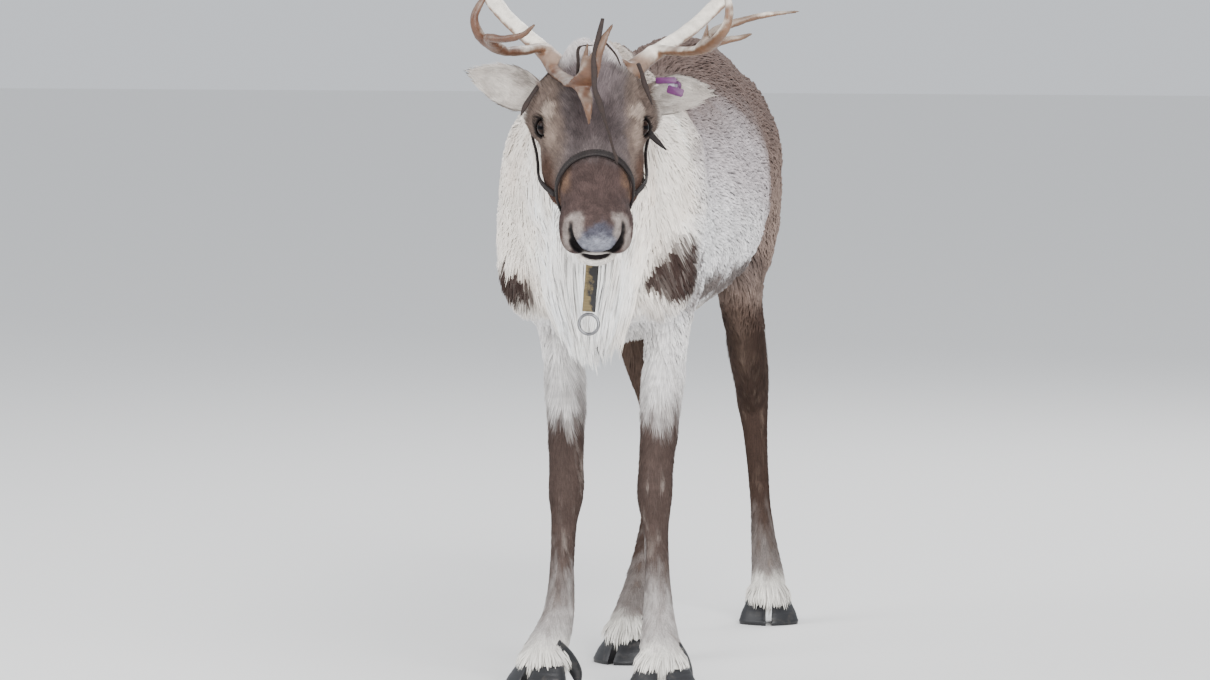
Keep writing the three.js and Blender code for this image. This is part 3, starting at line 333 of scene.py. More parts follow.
def head_forms(move):
    """The skull, muzzle, lips and jaw; move takes a list of stations to the frame that is wanted."""
    turned = move is not None

    def form(centre, radii):
        if not turned:
            return ball(centre, radii)
        (low, high, at) = ball((0, 0, 0), radii)[0]
        middle = on_head(centre)
        reach = max(radii)
        return [(middle - reach, middle + reach, lambda p: at((p - middle) @ HEAD_AXES.T))]

    def bent(stations, side):
        if not turned:
            return limb(stations, side)
        stations = np.array(stations, float)
        return limb(np.hstack([on_head(stations[:, :3]), stations[:, 3:]]), np.array(side) @ HEAD_AXES)

    parts = [(form((-62, 0, 0), (88, 76, 72)), 26), (form((-40, 0, 34), (86, 58, 36)), 26)]
    parts += [(form((-112, 0, 28), (40, 50, 46)), 20)]
    parts += mirrored(lambda s: (form((-4, s * 64, 12), (46, 29, 32)), 22))
    parts += mirrored(lambda s: (form((14, s * 52, -46), (104, 33, 50)), 26))
    parts += [(bent(SNOUT, (0, 1, 0)), 22)]
    parts += [(form((188, 0, -12), (40, 59, 46)), 16), (form((210, 0, 2), (25, 46, 34)), 12)]
    parts += mirrored(lambda s: (form((204, s * 32, -26), (32, 26, 22)), 10))
    parts += [(bent(JAW, (0, 1, 0)), 18), (form((206, 0, -64), (22, 34, 20)), 8)]
    parts += mirrored(lambda s: (form((-66, s * 64, 16), (26, 24, 24)), 16))
    parts += mirrored(lambda s: (form((-42, s * 84, -16), (38, 25, 36)), 22))
    return parts


EYE_RADIUS = 18
EYE_OUT = unit(np.array([(0.44, 0.72, 0.5), (0.44, -0.72, 0.5)]))
EYE_AT = np.array([(0.0, 72.0, 5.0), (0.0, -72.0, 5.0)])


# The left nostril's slit from its outer wing to its lower corner, and the mouth from the left to the middle.
NOSTRIL = [(212, 43, 20, 2.2), (219, 43, 8, 3.8), (224, 39.5, -6, 4.8), (228, 33, -18, 5.6),
           (229, 22, -28, 4.6), (226, 12, -33, 2)]
LIPS = [(150, 56, -44, 1.8), (176, 54, -46, 2), (200, 46, -48, 2.2), (216, 28, -51, 2.8),
        (222, 13, -53, 4), (224, 0, -53.5, 4.4)]


def lid_ring(i, along, across, out, radius):
    """Stations of a ring of lid round an eye, lower at its two corners."""
    way = EYE_OUT[i]
    first = unit(np.array([1.0, 0, 0]) - way * way[0])
    second = np.cross(way, first)
    if second[2] < 0:
        second = -second
    stations = []
    for k in range(14):
        a = k / 14 * 2 * math.pi
        lift = out - 3.4 * abs(math.cos(a)) ** 3
        thick = radius * (1.15 if math.sin(a) > 0 else 0.85)
        corner = 1.16 if math.cos(a) > 0.8 else 1.0
        p = EYE_AT[i] + way * lift + first * along * corner * math.cos(a) + second * across * math.sin(a)
        stations.append((*p, thick, thick))
    return stations


def head_surface(low, high, step):
    """The head's skin on a fine grid of its own, with all that is carved in it or raised on it."""
    axes = grid(low, high, step)
    neck = np.array(NECK, float)
    neck = np.hstack([in_head(neck[:, :3]), neck[:, 3:]])
    d = blended(head_forms(None) + [(limb(neck, HEAD_AXES @ np.array([1.0, 0, 0])), 30)], axes)
    p = places(axes)
    d = d + face_depth(p)
    behind = neck_side(on_head(p))
    d = d + 5 * ease(behind, -8, 24)
    d = np.maximum(d, behind - 46)

    for i in (0, 1):
        s = 1 - 2 * i
        way = EYE_OUT[i]
        join(d, ball(EYE_AT[i] + way * 30, (24, 24, 24)), -6, axes)
        tear = [(22, s * 62, 10, 3, 3), (38, s * 58.5, 4, 3.4, 3.4), (50, s * 57, -3, 1.5, 1.5)]
        join(d, limb(tear), -5, axes)
        join(d, limb(lid_ring(i, 19, 15, 11.2, 3), way, 3, True), 4, axes)
        join(d, limb(lid_ring(i, 23.5, 20, 6, 2.4), way, 3, True), 6, axes)
        fold = [(-16, s * 66, 28, 2, 2), (2, s * 66, 31, 2.4, 2.4), (20, s * 63, 25, 1.6, 1.6)]
        join(d, limb(fold), -6, axes)
        join(d, ball(EYE_AT[i], (EYE_RADIUS + 0.5,) * 3), -1, axes)
        join(d, limb([(u, s * v, w, r, r) for u, v, w, r in NOSTRIL]), -4, axes)
    line = [(u, v, w, r, r) for u, v, w, r in LIPS] + [(u, -v, w, r, r) for u, v, w, r in LIPS[-2::-1]]
    join(d, limb(line), -3, axes)
    points, quads = netted(d, axes)
    return on_head(points), quads


def face_depth(p):
    """Depth of the hair over the head, from the head's own places."""
    return 2.0 + 4.5 * ease(p[..., 0], 60, -90) + 1.2 * ease(-p[..., 2], 20, 70) * ease(p[..., 0], 190, 120)


HEAD_CUT = (np.array([48.0, -306.0, 980.0]), unit(np.array([0.2, -0.97, 0.05])))


def neck_side(p):
    """How far a place lies behind the plane that parts the head from the neck."""
    return (HEAD_CUT[0] - p) @ HEAD_CUT[1]


def coat_depth(p):
    """Depth of the hair over the body: deep on neck and trunk, short on the legs."""
    z = p[..., 2]
    deep = 17 + 5 * ease(p[..., 1], 40, -120)
    legs = 5 + 12 * ease(z, 470, 640)
    depth = np.minimum(deep, legs)
    mane = ease(p[..., 1], -180, -225) * ease(np.abs(p[..., 0] - 28), 84, 50) * ease(z, 890, 840)
    depth = depth + (8 - depth) * mane
    tail = ease(p[..., 1], 962, 986) * ease(z, 780, 830)
    depth = depth + (5 - depth) * tail
    head = ease(-neck_side(p), -40, 30)
    return depth * (1 - head) + 9 * head


def body_surface(low, high, step):
    axes = grid(low, high, step)
    parts = trunk_parts + [(limb(NECK), 60)] + leg_parts + mane_parts + [(limb(TAIL), 24)]
    d = blended(parts + head_forms("turned"), axes, 28)
    p = places(axes)
    d = d + coat_depth(p)
    return netted(d, axes)


def mesh_of(points, faces):
    """A mesh in metres from points in millimetres, by its flat arrays."""
    mesh = bpy.data.meshes.new("shape")
    mesh.vertices.add(len(points))
    mesh.vertices.foreach_set("co", metres(points).ravel())
    sides = faces.shape[1]
    mesh.loops.add(faces.size)
    mesh.loops.foreach_set("vertex_index", faces.ravel())
    mesh.polygons.add(len(faces))
    mesh.polygons.foreach_set("loop_start", np.arange(0, faces.size, sides))
    mesh.polygons.foreach_set("use_smooth", np.ones(len(faces), bool))
    mesh.update(calc_edges=True)
    return mesh


def shown(name, mesh):
    """An object at the origin for a finished mesh."""
    mesh.name = name
    piece = bpy.data.objects.new(name, mesh)
    bpy.context.scene.collection.objects.link(piece)
    return piece


def corners(mesh):
    co = np.empty(len(mesh.vertices) * 3)
    mesh.vertices.foreach_get("co", co)
    return co.reshape(-1, 3)


def removed(piece):
    mesh = piece.data
    bpy.data.objects.remove(piece)
    bpy.data.meshes.remove(mesh)


def fused(first, others):
    """One closed mesh out of several closed ones that run into each other."""
    for other in others:
        join = first.modifiers.new("join", "BOOLEAN")
        join.operation = "UNION"
        join.solver = "MANIFOLD"
        join.object = other
    mesh = bpy.data.meshes.new_from_object(first.evaluated_get(bpy.context.evaluated_depsgraph_get()))
    first.modifiers.clear()
    for other in others:
        removed(other)
    removed(first)
    return mesh


def linear(code):
    """A colour written as sRGB hex in the linear light that shaders work in."""
    parts = [int(code[i : i + 2], 16) / 255 for i in (1, 3, 5)]
    return np.array([c / 12.92 if c <= 0.04045 else ((c + 0.055) / 1.055) ** 2.4 for c in parts])


def blob(p, centre, radii, soft=0.3, wobble=0.25, seed=1, size=26):
    """1 inside an ellipsoid and 0 outside, with a soft, uneven edge."""
    d = np.sqrt((((p - np.array(centre, float)) / np.array(radii, float)) ** 2).sum(-1))
    d = d + wobble * cloud(p, size, seed) + 0.5 * wobble * cloud(p, size / 3, seed + 1)
    return 1 - ease(d, 1 - soft, 1 + soft)


def painted(first, layers, shape):
    """A first colour and then each layer's colour over it by the amount at each place."""
    colour = np.zeros(shape) + linear(first)
    for code, amount in layers:
        colour = colour + (linear(code) - colour) * np.asarray(amount)[..., None]
    return colour


# Ears are leaf-shaped cups of the same hide, closed like a funnel at the root.
# Each row: its part of the length, half width as a part of EAR_WIDTH, half angle of the cup, and curl.
EAR_WIDTH = 71
EAR_ROWS = [
    (-0.16, 0.2, 2.5, 0), (0.02, 0.27, 2.3, 0), (0.16, 0.38, 1.75, 0), (0.34, 0.5, 1.3, 0),
    (0.52, 0.52, 1.05, 0.01), (0.7, 0.45, 0.95, 0.03), (0.86, 0.3, 0.9, 0.06), (0.96, 0.13, 0.9, 0.09),
    (1, 0.03, 0.9, 0.1),
]
# Each ear's root, its tip and the way that its hollow faces.
EARS = {
    "ear_right": ((-10, -382, 1001), (-142, -338, 1044), (-0.25, -0.93, 0.15)),
    "ear_left": ((131, -348, 1000), (231, -262, 1014), (0.35, -0.8, -0.35)),
}


def ear_frame(root, tip, face):
    root, way, face = np.array(root, float), np.array(tip, float) - root, np.array(face, float)
    length = np.linalg.norm(way)
    way /= length
    face = unit(face - way * (face @ way))
    return root, way, face, np.cross(way, face), length


def near_path(p, path):
    """How far places lie outside a line of balls, given as places and radii, on both sides of the head."""
    spots = curve([(*spot, spot[3]) for spot in path], len(path) * 5)
    q = p.copy()
    q[..., 1] = np.abs(q[..., 1])
    far = np.full(q.shape[:-1], 1e3)
    for spot in spots:
        far = np.minimum(far, np.linalg.norm(q - spot[:3], axis=-1) - spot[3])
    return far


def body_colours(p, n, wave):
    """Grey-brown back, pale flank, white neck and mane, dark legs with white feet."""
    y, z = p[..., 1], p[..., 2]
    level = z + wave
    drawn = 1.4 * cloud(p * np.array([1, 1, 0.22]), 11, 7) + cloud(p * np.array([1, 1, 0.3]), 5, 8)
    rearwards = y + wave * 2.4 + 0.35 * (z - 800)
    flank = ease(level, 1010, 880) * ease(rearwards, 720, 480)
    haunch = ease(rearwards, 480, 760) * ease(level, 990, 900)
    neck = ease(y + 1.8 * wave + 0.3 * (900 - z), 100, -65)
    nape = ease(level - 0.45 * (-y), 960, 1010) * ease(y, -300, -200)
    front = ease(y, 200, 160)
    hind = 1 - front
    on_hind = hind * np.maximum(ease(y + wave, 560, 700), ease(z, 588, 562))
    shin = hind * ease(z, 700, 560) * ease(-n[..., 1], 0.1, 0.8) * ease(z, 430, 520)
    patches = ((146, -66, 722), (60, 84, 46)), ((-132, -70, 700), (52, 70, 28))
    solid = 0.88 + 0.12 * ease(cloud(p, 8, 16), -1.2, 0.4)
    shoulders = [blob(p + 5 * drawn[..., None], *patch, 0.3, 0.35, 15) * solid for patch in patches]
    layers = [
        # Pale flank under the back, whitest low down, ahead of the brown haunch.
        ("#bdb5b6", flank),
        ("#e6e4e4", flank * ease(level + 0.2 * (y - 300), 870, 730)),
        ("#8f7e75", haunch * ease(level, 960, 760)),
        ("#5d514c", blob(p, (0, 400, 672), (400, 480, 34), 0.5, 0.5, 11) * 0.9),
        ("#b5aea6", ease(z + 0.8 * wave, 650, 612) * ease(y, 20, 90) * ease(y, 660, 540)),
        ("#eeebe4", blob(p, (0, 1010, 850), (86, 120, 150), 0.3, 0.25, 13)),
        # Cream neck and white mane; dark patches on both points of the shoulder.
        ("#f3ebe1", neck),
        ("#dccdbf", neck * 0.6 * ease(cloud(p, 55, 9), 0.1, 1.2)),
        ("#b5aaa0", nape * ease(y, 120, 0)),
        ("#40332f", shoulders[0]),
        ("#40332f", shoulders[1]),
        ("#fbf8f4", blob(p, (10, -230, 720), (96, 130, 210), 0.3, 0.2, 17)),
        # Legs: white above the knees in front, brown behind, mottled grey over the feet.
        ("#dddad8", ease(level, 640, 600) * front),
        ("#928c89", ease(level, 640, 600) * front * ease(drawn, 0.5, 2.4) * 0.6),
        ("#554843", front * ease(z + 1.6 * wave + 26 * drawn, 540, 410)),
        ("#a0968f", front * ease(z, 520, 470) * ease(drawn + 0.4 * cloud(p, 40, 18), 0.2, 2.2) * 0.62),
        ("#4a3b34", on_hind * ease(level, 660, 580)),
        ("#64544b", shin),
        ("#8a7a6d", hind * ease(z, 560, 500) * ease(drawn + 0.4 * cloud(p, 40, 19), 0.3, 2.2) * 0.6),
        ("#b3aeab", ease(z + 1.2 * wave + 36 * drawn, 250, 90) * (0.4 + 0.6 * front)),
        ("#efebe3", ease(z + 0.5 * wave + 6 * drawn, 104, 62)),
    ]
    return painted("#73635d", layers, p.shape)


def face_colours(p, h):
    """A dark forehead and muzzle, pale round the eyes, nostrils, lips and chin; h is p in the head's places."""
    u, v, w = h[..., 0], h[..., 1], h[..., 2]
    wide = np.abs(v)
    fine = 5 * cloud(p, 14, 21) + 3 * cloud(p, 6, 22)
    side = ease(wide + 0.6 * fine, 56, 70) * ease(u, 20, 60) * ease(u, 130, 100)
    layers = [
        ("#4b4242", blob(h, (24, 0, 60), (52, 44, 44), 0.5, 0.35, 25, 16) * 0.9),
        ("#85797a", blob(h, (-52, 0, 62), (50, 34, 40), 0.5, 0.3, 24, 16) * 0.6),
        ("#d2cbc9", ease(-u + 1.6 * fine + 0.2 * wide, 74, 112)),
        ("#766860", ease(wide + fine, 40, 62) * ease(u, 130, 70)),
        ("#5a463c", side * ease(-w, -10, 20)),
    ]
    for s, eye in ((1, EYE_AT[0]), (-1, EYE_AT[1])):
        layers += [
            ("#b8a99c", blob(h, (-2, s * 68, 33), (17, 17, 12), 0.5, 0.4, 28, 9) * 0.66),
            ("#96867b", blob(h, (33, s * 68, 18), (15, 10, 18), 0.5, 0.4, 29, 9) * 0.65),
            ("#1c1615", ease(np.linalg.norm(h - eye, axis=-1), 26, 20.5) * ease(s * v, 58, 68)),
        ]
    snout = ease(u + fine, 92, 116)
    pad = blob(h, (228, 0, -4), (36, 36, 32), 0.22, 0.15, 31, 9)
    nostril = near_path(h, NOSTRIL)
    rim = ease(u + fine, 186, 206) * ease(nostril + 1.2 * fine, 25, 11) * ease(wide + 0.5 * w, 24, 34)
    rubbed = 0.8 * snout * blob(h, (124, 0, 0), (26, 60, 60), 0.4, 0.3, 33, 9)
    layers += [
        ("#534542", snout),
        ("#7d6554", rubbed * ease(wide, 34, 46)),
        ("#5a3c2e", snout * ease(wide + fine, 46, 58) * ease(-w, 10, 40)),
        ("#5a5963", pad),
        # Painted highlight: a paler blue-grey patch in the middle of the nose pad.
        ("#9a9ca6", pad * blob(h, (236, 0, -8), (18, 28, 18), 0.6, 0.5, 32, 5) * 0.8),
        ("#a29892", rim * (0.72 + 0.28 * cloud(p, 8, 45))),
        ("#c9c2bc", ease(u + fine, 176, 196) * ease(-w + 0.4 * fine, 28, 38)),
        ("#e2dcd4", ease(-w + fine, 54, 62) * ease(u, 40, 90)),
        ("#e8e1d8", ease(-w + fine, 74, 96) * ease(u, 90, 40)),
        # Painted shade: the nostril slits and the mouth line are painted nearly black.
        ("#171314", ease(nostril + 0.25 * fine, 4.6, -0.6)),
        ("#1b1516", ease(near_path(h, LIPS), 2.0, 0.2)),
    ]
    speckle = 1 + 0.22 * cloud(p, 7, 43) + 0.14 * cloud(p, 3.2, 44)
    return painted("#655c5b", layers, p.shape) * speckle[..., None]


def ear_colours(p, n, root, tip, face):
    """White inside, dark at the root and along the rim, grey-brown behind; and where on the skin that holds."""
    root, way, face, across, length = ear_frame(root, tip, face)
    fine = 5 * cloud(p, 14, 21) + 3 * cloud(p, 6, 22)
    d = p - root
    along, off = d @ way, d @ across
    near = (np.linalg.norm(d - along[..., None] * way, axis=-1) < 56) & (along > 6) & (along < 1.15 * length)
    inner = ease(n @ face, -0.05, 0.3)
    patch = blob(p, root + way * length * 0.42 + across * 12, (22, 22, 20), 0.4, 0.4, 35, 9)
    layers = [
        ("#cfc8c0", inner * (0.72 + 0.28 * np.clip(cloud(p, 14, 36), -1, 1))),
        ("#6e655f", inner * patch * 0.8),
        ("#6a5d56", ease(along + fine, 34, 14)),
        ("#5d534d", ease(np.abs(off) + 0.3 * fine, 29, 36) * ease(along, 20, 40) * 0.8),
    ]
    return painted("#8d827b", layers, p.shape), near & (p[..., 2] > 930)


def markings(p, n):
    """The animal's own colours in linear light, from places on the skin and its ways out."""
    wave = 16 * cloud(p, 70, 5) + 9 * cloud(p, 24, 6)
    colour = body_colours(p, n, wave)
    on = ease(-neck_side(p) + wave * 0.6, -14, 12)
    colour = colour + (face_colours(p, in_head(p)) - colour) * on[..., None]
    for place in EARS.values():
        ear, near = ear_colours(p, n, *place)
        colour = np.where(near[..., None], ear, colour)
    speck = 1 + 0.10 * cloud(p, 30, 41) + 0.08 * cloud(p, 9, 42)
    return np.clip(colour * speck[..., None], 0.003, 1) ** 1.14


def coloured(mesh, colours):
    """The colours of a mesh's points, as the attribute that the coat's material reads."""
    attribute = mesh.color_attributes.new("Coat", "FLOAT_COLOR", "POINT")
    rgba = np.ones((len(mesh.vertices), 4), np.float32)
    rgba[:, :3] = colours
    attribute.data.foreach_set("color", rgba.ravel())


def add(tree, kind, settings=None, inputs=None, links=None):
    """Adds a node with its settings, the values of its sockets and what feeds them."""
    node = tree.nodes.new(kind)
    for name, value in (settings or {}).items():
        setattr(node, name, value)
    for name, value in (inputs or {}).items():
        node.inputs[name].default_value = value
    for name, source in (links or {}).items():
        tree.links.new(source, node.inputs[name])
    return node


def material(name, roughness, **sockets):
    """A bare material of that name with its own shader, ready for its pattern."""
    made = bpy.data.materials.new(name)
    made.use_nodes = True
    tree = made.node_tree
    tree.nodes.clear()
    shader = add(tree, "ShaderNodeBsdfPrincipled", inputs={"Roughness": roughness})
    for socket, value in sockets.items():
        shader.inputs[socket.replace("_", " ")].default_value = value
    add(tree, "ShaderNodeOutputMaterial", links={"Surface": shader.outputs["BSDF"]})
    return made, tree, shader


def rgba(code):
    return (*linear(code), 1.0)


def finish(tree, shader, colour, pattern=None, relief=None):
    """Joins a colour to the shader, and the relief of a pattern: its strength and its depth in metres."""
    tree.links.new(colour, shader.inputs["Base Color"])
    if relief:
        depth = dict(zip(("Strength", "Distance"), relief))
        bump = add(tree, "ShaderNodeBump", inputs=depth, links={"Height": pattern})
        tree.links.new(bump.outputs["Normal"], shader.inputs["Normal"])


def shaded(tree, shader, pattern, spread, shades, relief):
    """The piece's own colours, shaded by a pattern that also stands out."""
    tone = add(tree, "ShaderNodeAttribute", {"attribute_name": "Coat"})
    limits = dict(zip(("From Min", "From Max", "To Min", "To Max"), spread + shades))
    shade = add(tree, "ShaderNodeMapRange", inputs=limits, links={"Value": pattern})
    tint = add(tree, "ShaderNodeVectorMath", {"operation": "SCALE"},
               links={0: tone.outputs["Color"], "Scale": shade.outputs["Result"]})
    finish(tree, shader, tint.outputs["Vector"], pattern, relief)


# Hide with short flat hair: matt, with a fine grain of single hairs, drawn about 2 mm apart so that it shows.
hide, tree, shader = material("reindeer hide with short hair", 0.75, Specular_IOR_Level=0.12)
where = add(tree, "ShaderNodeTexCoord").outputs["Object"]
grain = add(tree, "ShaderNodeTexNoise", inputs={"Scale": 420.0, "Detail": 4.0}, links={"Vector": where})
shaded(tree, shader, grain.outputs["Fac"], (0.3, 0.7), (0.72, 1.2), (0.5, 0.0012))

HEAD_STEP = 2.3
BODY_STEP = 8.4
head_skin = shown("head_skin", mesh_of(*head_surface((-170, -108, -160), (246, 108, 112), HEAD_STEP)))
body_skin = shown("body_skin", mesh_of(*body_surface((-240, -560, 46), (250, 1064, 1140), BODY_STEP)))


def turned_out(mesh, merge=0):
    """The mesh with its faces pointing outwards, after points closer than merge are joined."""
    work = bmesh.new()
    work.from_mesh(mesh)
    if merge:
        bmesh.ops.remove_doubles(work, verts=work.verts, dist=merge)
    bmesh.ops.recalc_face_normals(work, faces=work.faces)
    work.to_mesh(mesh)
    work.free()
    return mesh


def ear_net(root, tip, face, steps=22, rows=34, inset=1.6):
    root, way, face, across, length = ear_frame(root, tip, face)
    table = np.array(EAR_ROWS)
    at = np.linspace(0, len(table) - 1, rows)
    rows_at = np.stack([np.interp(at, np.arange(len(table)), table[:, i]) for i in range(4)], 1)
    points = []
    for t, half, spread, curl in rows_at:
        radius = half * EAR_WIDTH / min(math.sin(min(spread, math.pi / 2)), 1)
        thick = min(6.5, radius * 0.5)
        lift = radius * math.cos(min(spread, 1.2)) * 0.6
        for r, turn in ((radius - inset, 1), (radius - thick + inset * 0.6, -1)):
            reach = spread - inset / max(radius, 3)
            for k in range(steps + 1):
                angle = turn * reach * (2 * k / steps - 1)
                out = root + way * t * length + across * r * math.sin(angle)
                points.append(out + face * (lift + curl * length - r * math.cos(angle)))
    ring = 2 * (steps + 1)
    faces = []
    for row in range(rows - 1):
        for i in range(ring):
            a, b = row * ring + i, row * ring + (i + 1) % ring
            faces.append((a, b, b + ring, a + ring))
    top = (rows - 1) * ring
    for i in range(steps):
        a, b, c, d = i, i + 1, ring - 2 - i, ring - 1 - i
        faces.append((a, d, c, b))
        faces.append((top + a, top + b, top + c, top + d))
    return turned_out(mesh_of(np.array(points), np.array(faces)))


ear_skins = [shown(name + "_skin", ear_net(*place)) for name, place in EARS.items()]
skin = shown("skin", fused(body_skin, [head_skin, *ear_skins]))
fresh = skin.data
fresh.shade_smooth()


def surface_of(mesh):
    """Triangles of a mesh in the anatomy's millimetres, with the ways out at their corners."""
    mesh.calc_loop_triangles()
    count = len(mesh.loop_triangles)
    ids = np.empty(count * 3, np.int64)
    mesh.loop_triangles.foreach_get("vertices", ids)
    ids = ids.reshape(-1, 3)
    points = corners(mesh) * 1000 - SHIFT
    cross = np.cross(points[ids[:, 1]] - points[ids[:, 0]], points[ids[:, 2]] - points[ids[:, 0]])
    ways = np.zeros(points.shape)
    for k in range(3):
        np.add.at(ways, ids[:, k], cross)
    return points, ids, unit(ways)


hide_points, hide_tris, hide_ways = surface_of(fresh)
coloured(fresh, markings(hide_points, hide_ways) * 0.9)
fresh.materials.clear()
fresh.materials.append(hide)
LEGS = [f"{end}_{side}_{part}" for end in ("front", "hind") for side in ("left", "right")
        for part in ("upper_leg", "cannon", "pastern")]
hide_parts("torso", "neck", "head", "tail", "ear_left", "ear_right", *LEGS)
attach(skin, "root")

# Winter coat
# Hollow guard hairs in tapering tufts that lie backwards and down over each other, with paler tips.
# They are longest on the neck and throat, short on the legs and shortest on the face and feet.


def scattered(spacing, where, seed):
    """Places spread evenly over the part of the skin that where chooses, with the ways out there."""
    rng = np.random.default_rng(seed)
    tris = hide_points[hide_tris]
    chosen = where(tris.mean(1), hide_ways[hide_tris[:, 0]])
    tris = tris[chosen]
    ways = hide_ways[hide_tris[chosen]]
    area = 0.5 * np.linalg.norm(np.cross(tris[:, 1] - tris[:, 0], tris[:, 2] - tris[:, 0]), axis=1)
    count = rng.poisson(area * 2.5 / spacing**2)
    pick = np.repeat(np.arange(len(tris)), count)
    a, b = rng.random(len(pick)), rng.random(len(pick))
    a = np.sqrt(a)
    parts = np.stack([1 - a, a * (1 - b), a * b], 1)[..., None]
    p = (tris[pick] * parts).sum(1)
    n = unit((ways[pick] * parts).sum(1))
    order = rng.permutation(len(p))
    cell = np.floor(p[order] / spacing).astype(np.int64)
    _, first = np.unique(cell @ np.array([1, 100003, 10000600009]), return_index=True)
    keep = order[np.sort(first)]
    return p[keep], n[keep]


def lie(p, n):
    """The way the hair lies on the skin."""
    x, y, z = p[:, 0], p[:, 1], p[:, 2]
    way = np.zeros(p.shape) + np.array([0, 1.0, -0.34])
    for amount, goal in (
        (ease(z, 800, 660) * ease(y, 600, 300), (0, 1, -0.5)),
        (ease(y, 640, 800) * ease(z, 960, 800), (0, 0.5, -1)),
        (ease(y, 60, -120), (0, 0.62, -0.8)),
        (ease(y, -40, -200) * ease(z, 900, 700), (0, 0.25, -1)),
        (ease(z, 660, 580), (0, 0.16, -1)),
        (ease(y, 930, 970) * ease(z, 800, 850), (0, 0.35, -1)),
    ):
        way = way + (np.array(goal, float) - way) * amount[:, None]
    spread = np.stack([np.sign(x) * 0.25, np.zeros(len(x)), np.zeros(len(x))], 1)
    way = way + spread * (ease(z, 900, 1040) * ease(y, -200, 0))[:, None]
    h = in_head(p)
    back = np.stack([-np.ones(len(p)), np.sign(h[:, 1]) * 0.25, -0.25 * ease(np.abs(h[:, 1]), 20, 60)], 1)
    on = ease(-neck_side(p), 0, 30)[:, None]
    way = way + (unit(back) @ HEAD_AXES - way) * on
    return laid(way, n)


def laid(way, n):
    """A way laid flat on the skin, or left to hang where the skin faces that way itself."""
    lean = (way * n).sum(1, keepdims=True)
    return unit(way - n * lean + way * ease(lean, 0.5, 0.95))


def nearest(points, centres):
    tree = KDTree(len(centres))
    for i, p in enumerate(centres):
        tree.insert(p, i)
    tree.balance()
    return np.array([tree.find(p)[1] for p in points])


def tufts(p, n, length, width, rise, droop=0.3, thick=0.35, rings=2, sway=0.25, clump=0.35, gather=12, seed=1,
          way=None, tip_shade=1.12, root_shade=0.8, vary=0.28, like=None):
    """Tapered, bent tufts rooted at p: points, ways out, colours and places along and across."""
    rng = np.random.default_rng(seed)
    count = len(p)
    way = lie(p, n) if way is None else way
    side = np.cross(n, way) + np.array([0.04, 0, 0])
    turn = sway * (cloud(p, 60, seed) + 0.8 * cloud(p, 18, seed + 1) + 0.5 * (rng.random(count) - 0.5))
    way = unit(way + side * turn[:, None])
    length = length * (0.8 + 0.4 * rng.random(count)) * (1 + 0.15 * cloud(p, 40, seed + 2))
    rise = rise * (0.7 + 0.6 * rng.random(count)) * (1 + 0.4 * cloud(p, 30, seed + 3))
    width = width * (0.75 + 0.5 * rng.random(count))
    tip = p + way * length[:, None] + n * (rise * (1 - droop))[:, None]
    if clump:
        few = max(count // gather, 1)
        near = nearest(p, p[:few])
        tip = tip + (tip[near] - tip) * (clump * (0.6 + 0.4 * rng.random(count)))[:, None]
    run = tip - p
    side = unit(np.cross(n, run) + np.array([0.5, 0, 0]))
    bend = n * rise[:, None]
    spots = []
    stations = {1: (0.0,), 2: (0.0, 0.52), 3: (0.0, 0.36, 0.7)}[rings]
    for s in stations:
        arch = math.sin(math.pi * min(s * 1.2, 1)) * 0.55
        middle = p + run * (s - 0.04) + bend * arch - n * (0.8 if s == 0 else 0)
        half = (width * (0.42 if s == 0 else 0.5 * (1 - 0.62 * s**1.6)))[:, None]
        up = n * (width * thick * (1 - 0.5 * s))[:, None]
        spots += [middle - side * half, middle + side * half, middle + up]
    spots.append(tip)
    verts = np.stack(spots, 1)
    down = unit(run)
    out = unit(n - down * np.maximum((n * down).sum(1, keepdims=True), 0) + np.array([0, -0.12, 0.04]))
    ways = []
    for s in stations:
        ways += [unit(out * 0.85 - side * 0.5), unit(out * 0.85 + side * 0.5), out]
    ways.append(unit(out + 0.4 * down))
    ways = np.stack(ways, 1)
    base = markings(p if like is None else like, n) * (1 - vary / 2 + vary * rng.random(count))[:, None]
    along = [s for s in stations for _ in range(3)]
    shades = [root_shade + (tip_shade - root_shade) * s for s in along] + [tip_shade]
    tones = base[:, None, :] * np.array(shades)[None, :, None]
    return {"p": verts, "n": ways, "c": np.clip(tones, 0, 1), "root": p, "s": along + [1.0]}


def tuft_faces(rings):
    faces = [(0, 2, 1)]
    for r in range(rings - 1):
        a, b, c = 3 * r, 3 * r + 1, 3 * r + 2
        for one, two in ((a, b), (b, c), (c, a)):
            faces += [(one, two, two + 3), (one, two + 3, one + 3)]
    a, b, c = 3 * rings - 3, 3 * rings - 2, 3 * rings - 1
    tip = 3 * rings
    return np.array(faces + [(a, b, tip), (b, c, tip), (c, a, tip)])


def unwrap(p):
    """A place on a flat unwrap of the skin: round the trunk, each leg and the head in turn."""
    x, y, z = p[:, 0], p[:, 1], p[:, 2]
    h = in_head(p)
    head = neck_side(p) < 0
    leg = (z < 620) & ~head
    trunk_u = np.arctan2(x, z - 820) / (2 * math.pi) + 0.5
    spots = np.stack([0.02 + 0.56 * trunk_u, 0.04 + 0.92 * (y + 480) / 1560], 1)
    head_u = np.arctan2(h[:, 1], h[:, 2] + 20) / (2 * math.pi) + 0.5
    spots[head] = np.stack([0.6 + 0.18 * head_u, 0.04 + 0.92 * (h[:, 0] + 170) / 420], 1)[head]
    for k, table in enumerate((FORE_LEFT, FORE_RIGHT, HIND_LEFT, HIND_RIGHT)):
        table = np.array(table, float)[::-1]
        cx, cy = np.interp(z, table[:, 2], table[:, 0]), np.interp(z, table[:, 2], table[:, 1])
        near = np.hypot(x - cx, y - cy) < 90
        u = np.arctan2(x - cx, y - cy) / (2 * math.pi) + 0.5
        both = leg & near
        spots[both] = np.stack([0.8 + 0.047 * k + 0.042 * u, 0.04 + 0.92 * z / 640], 1)[both]
    return np.clip(spots, 0.004, 0.996)


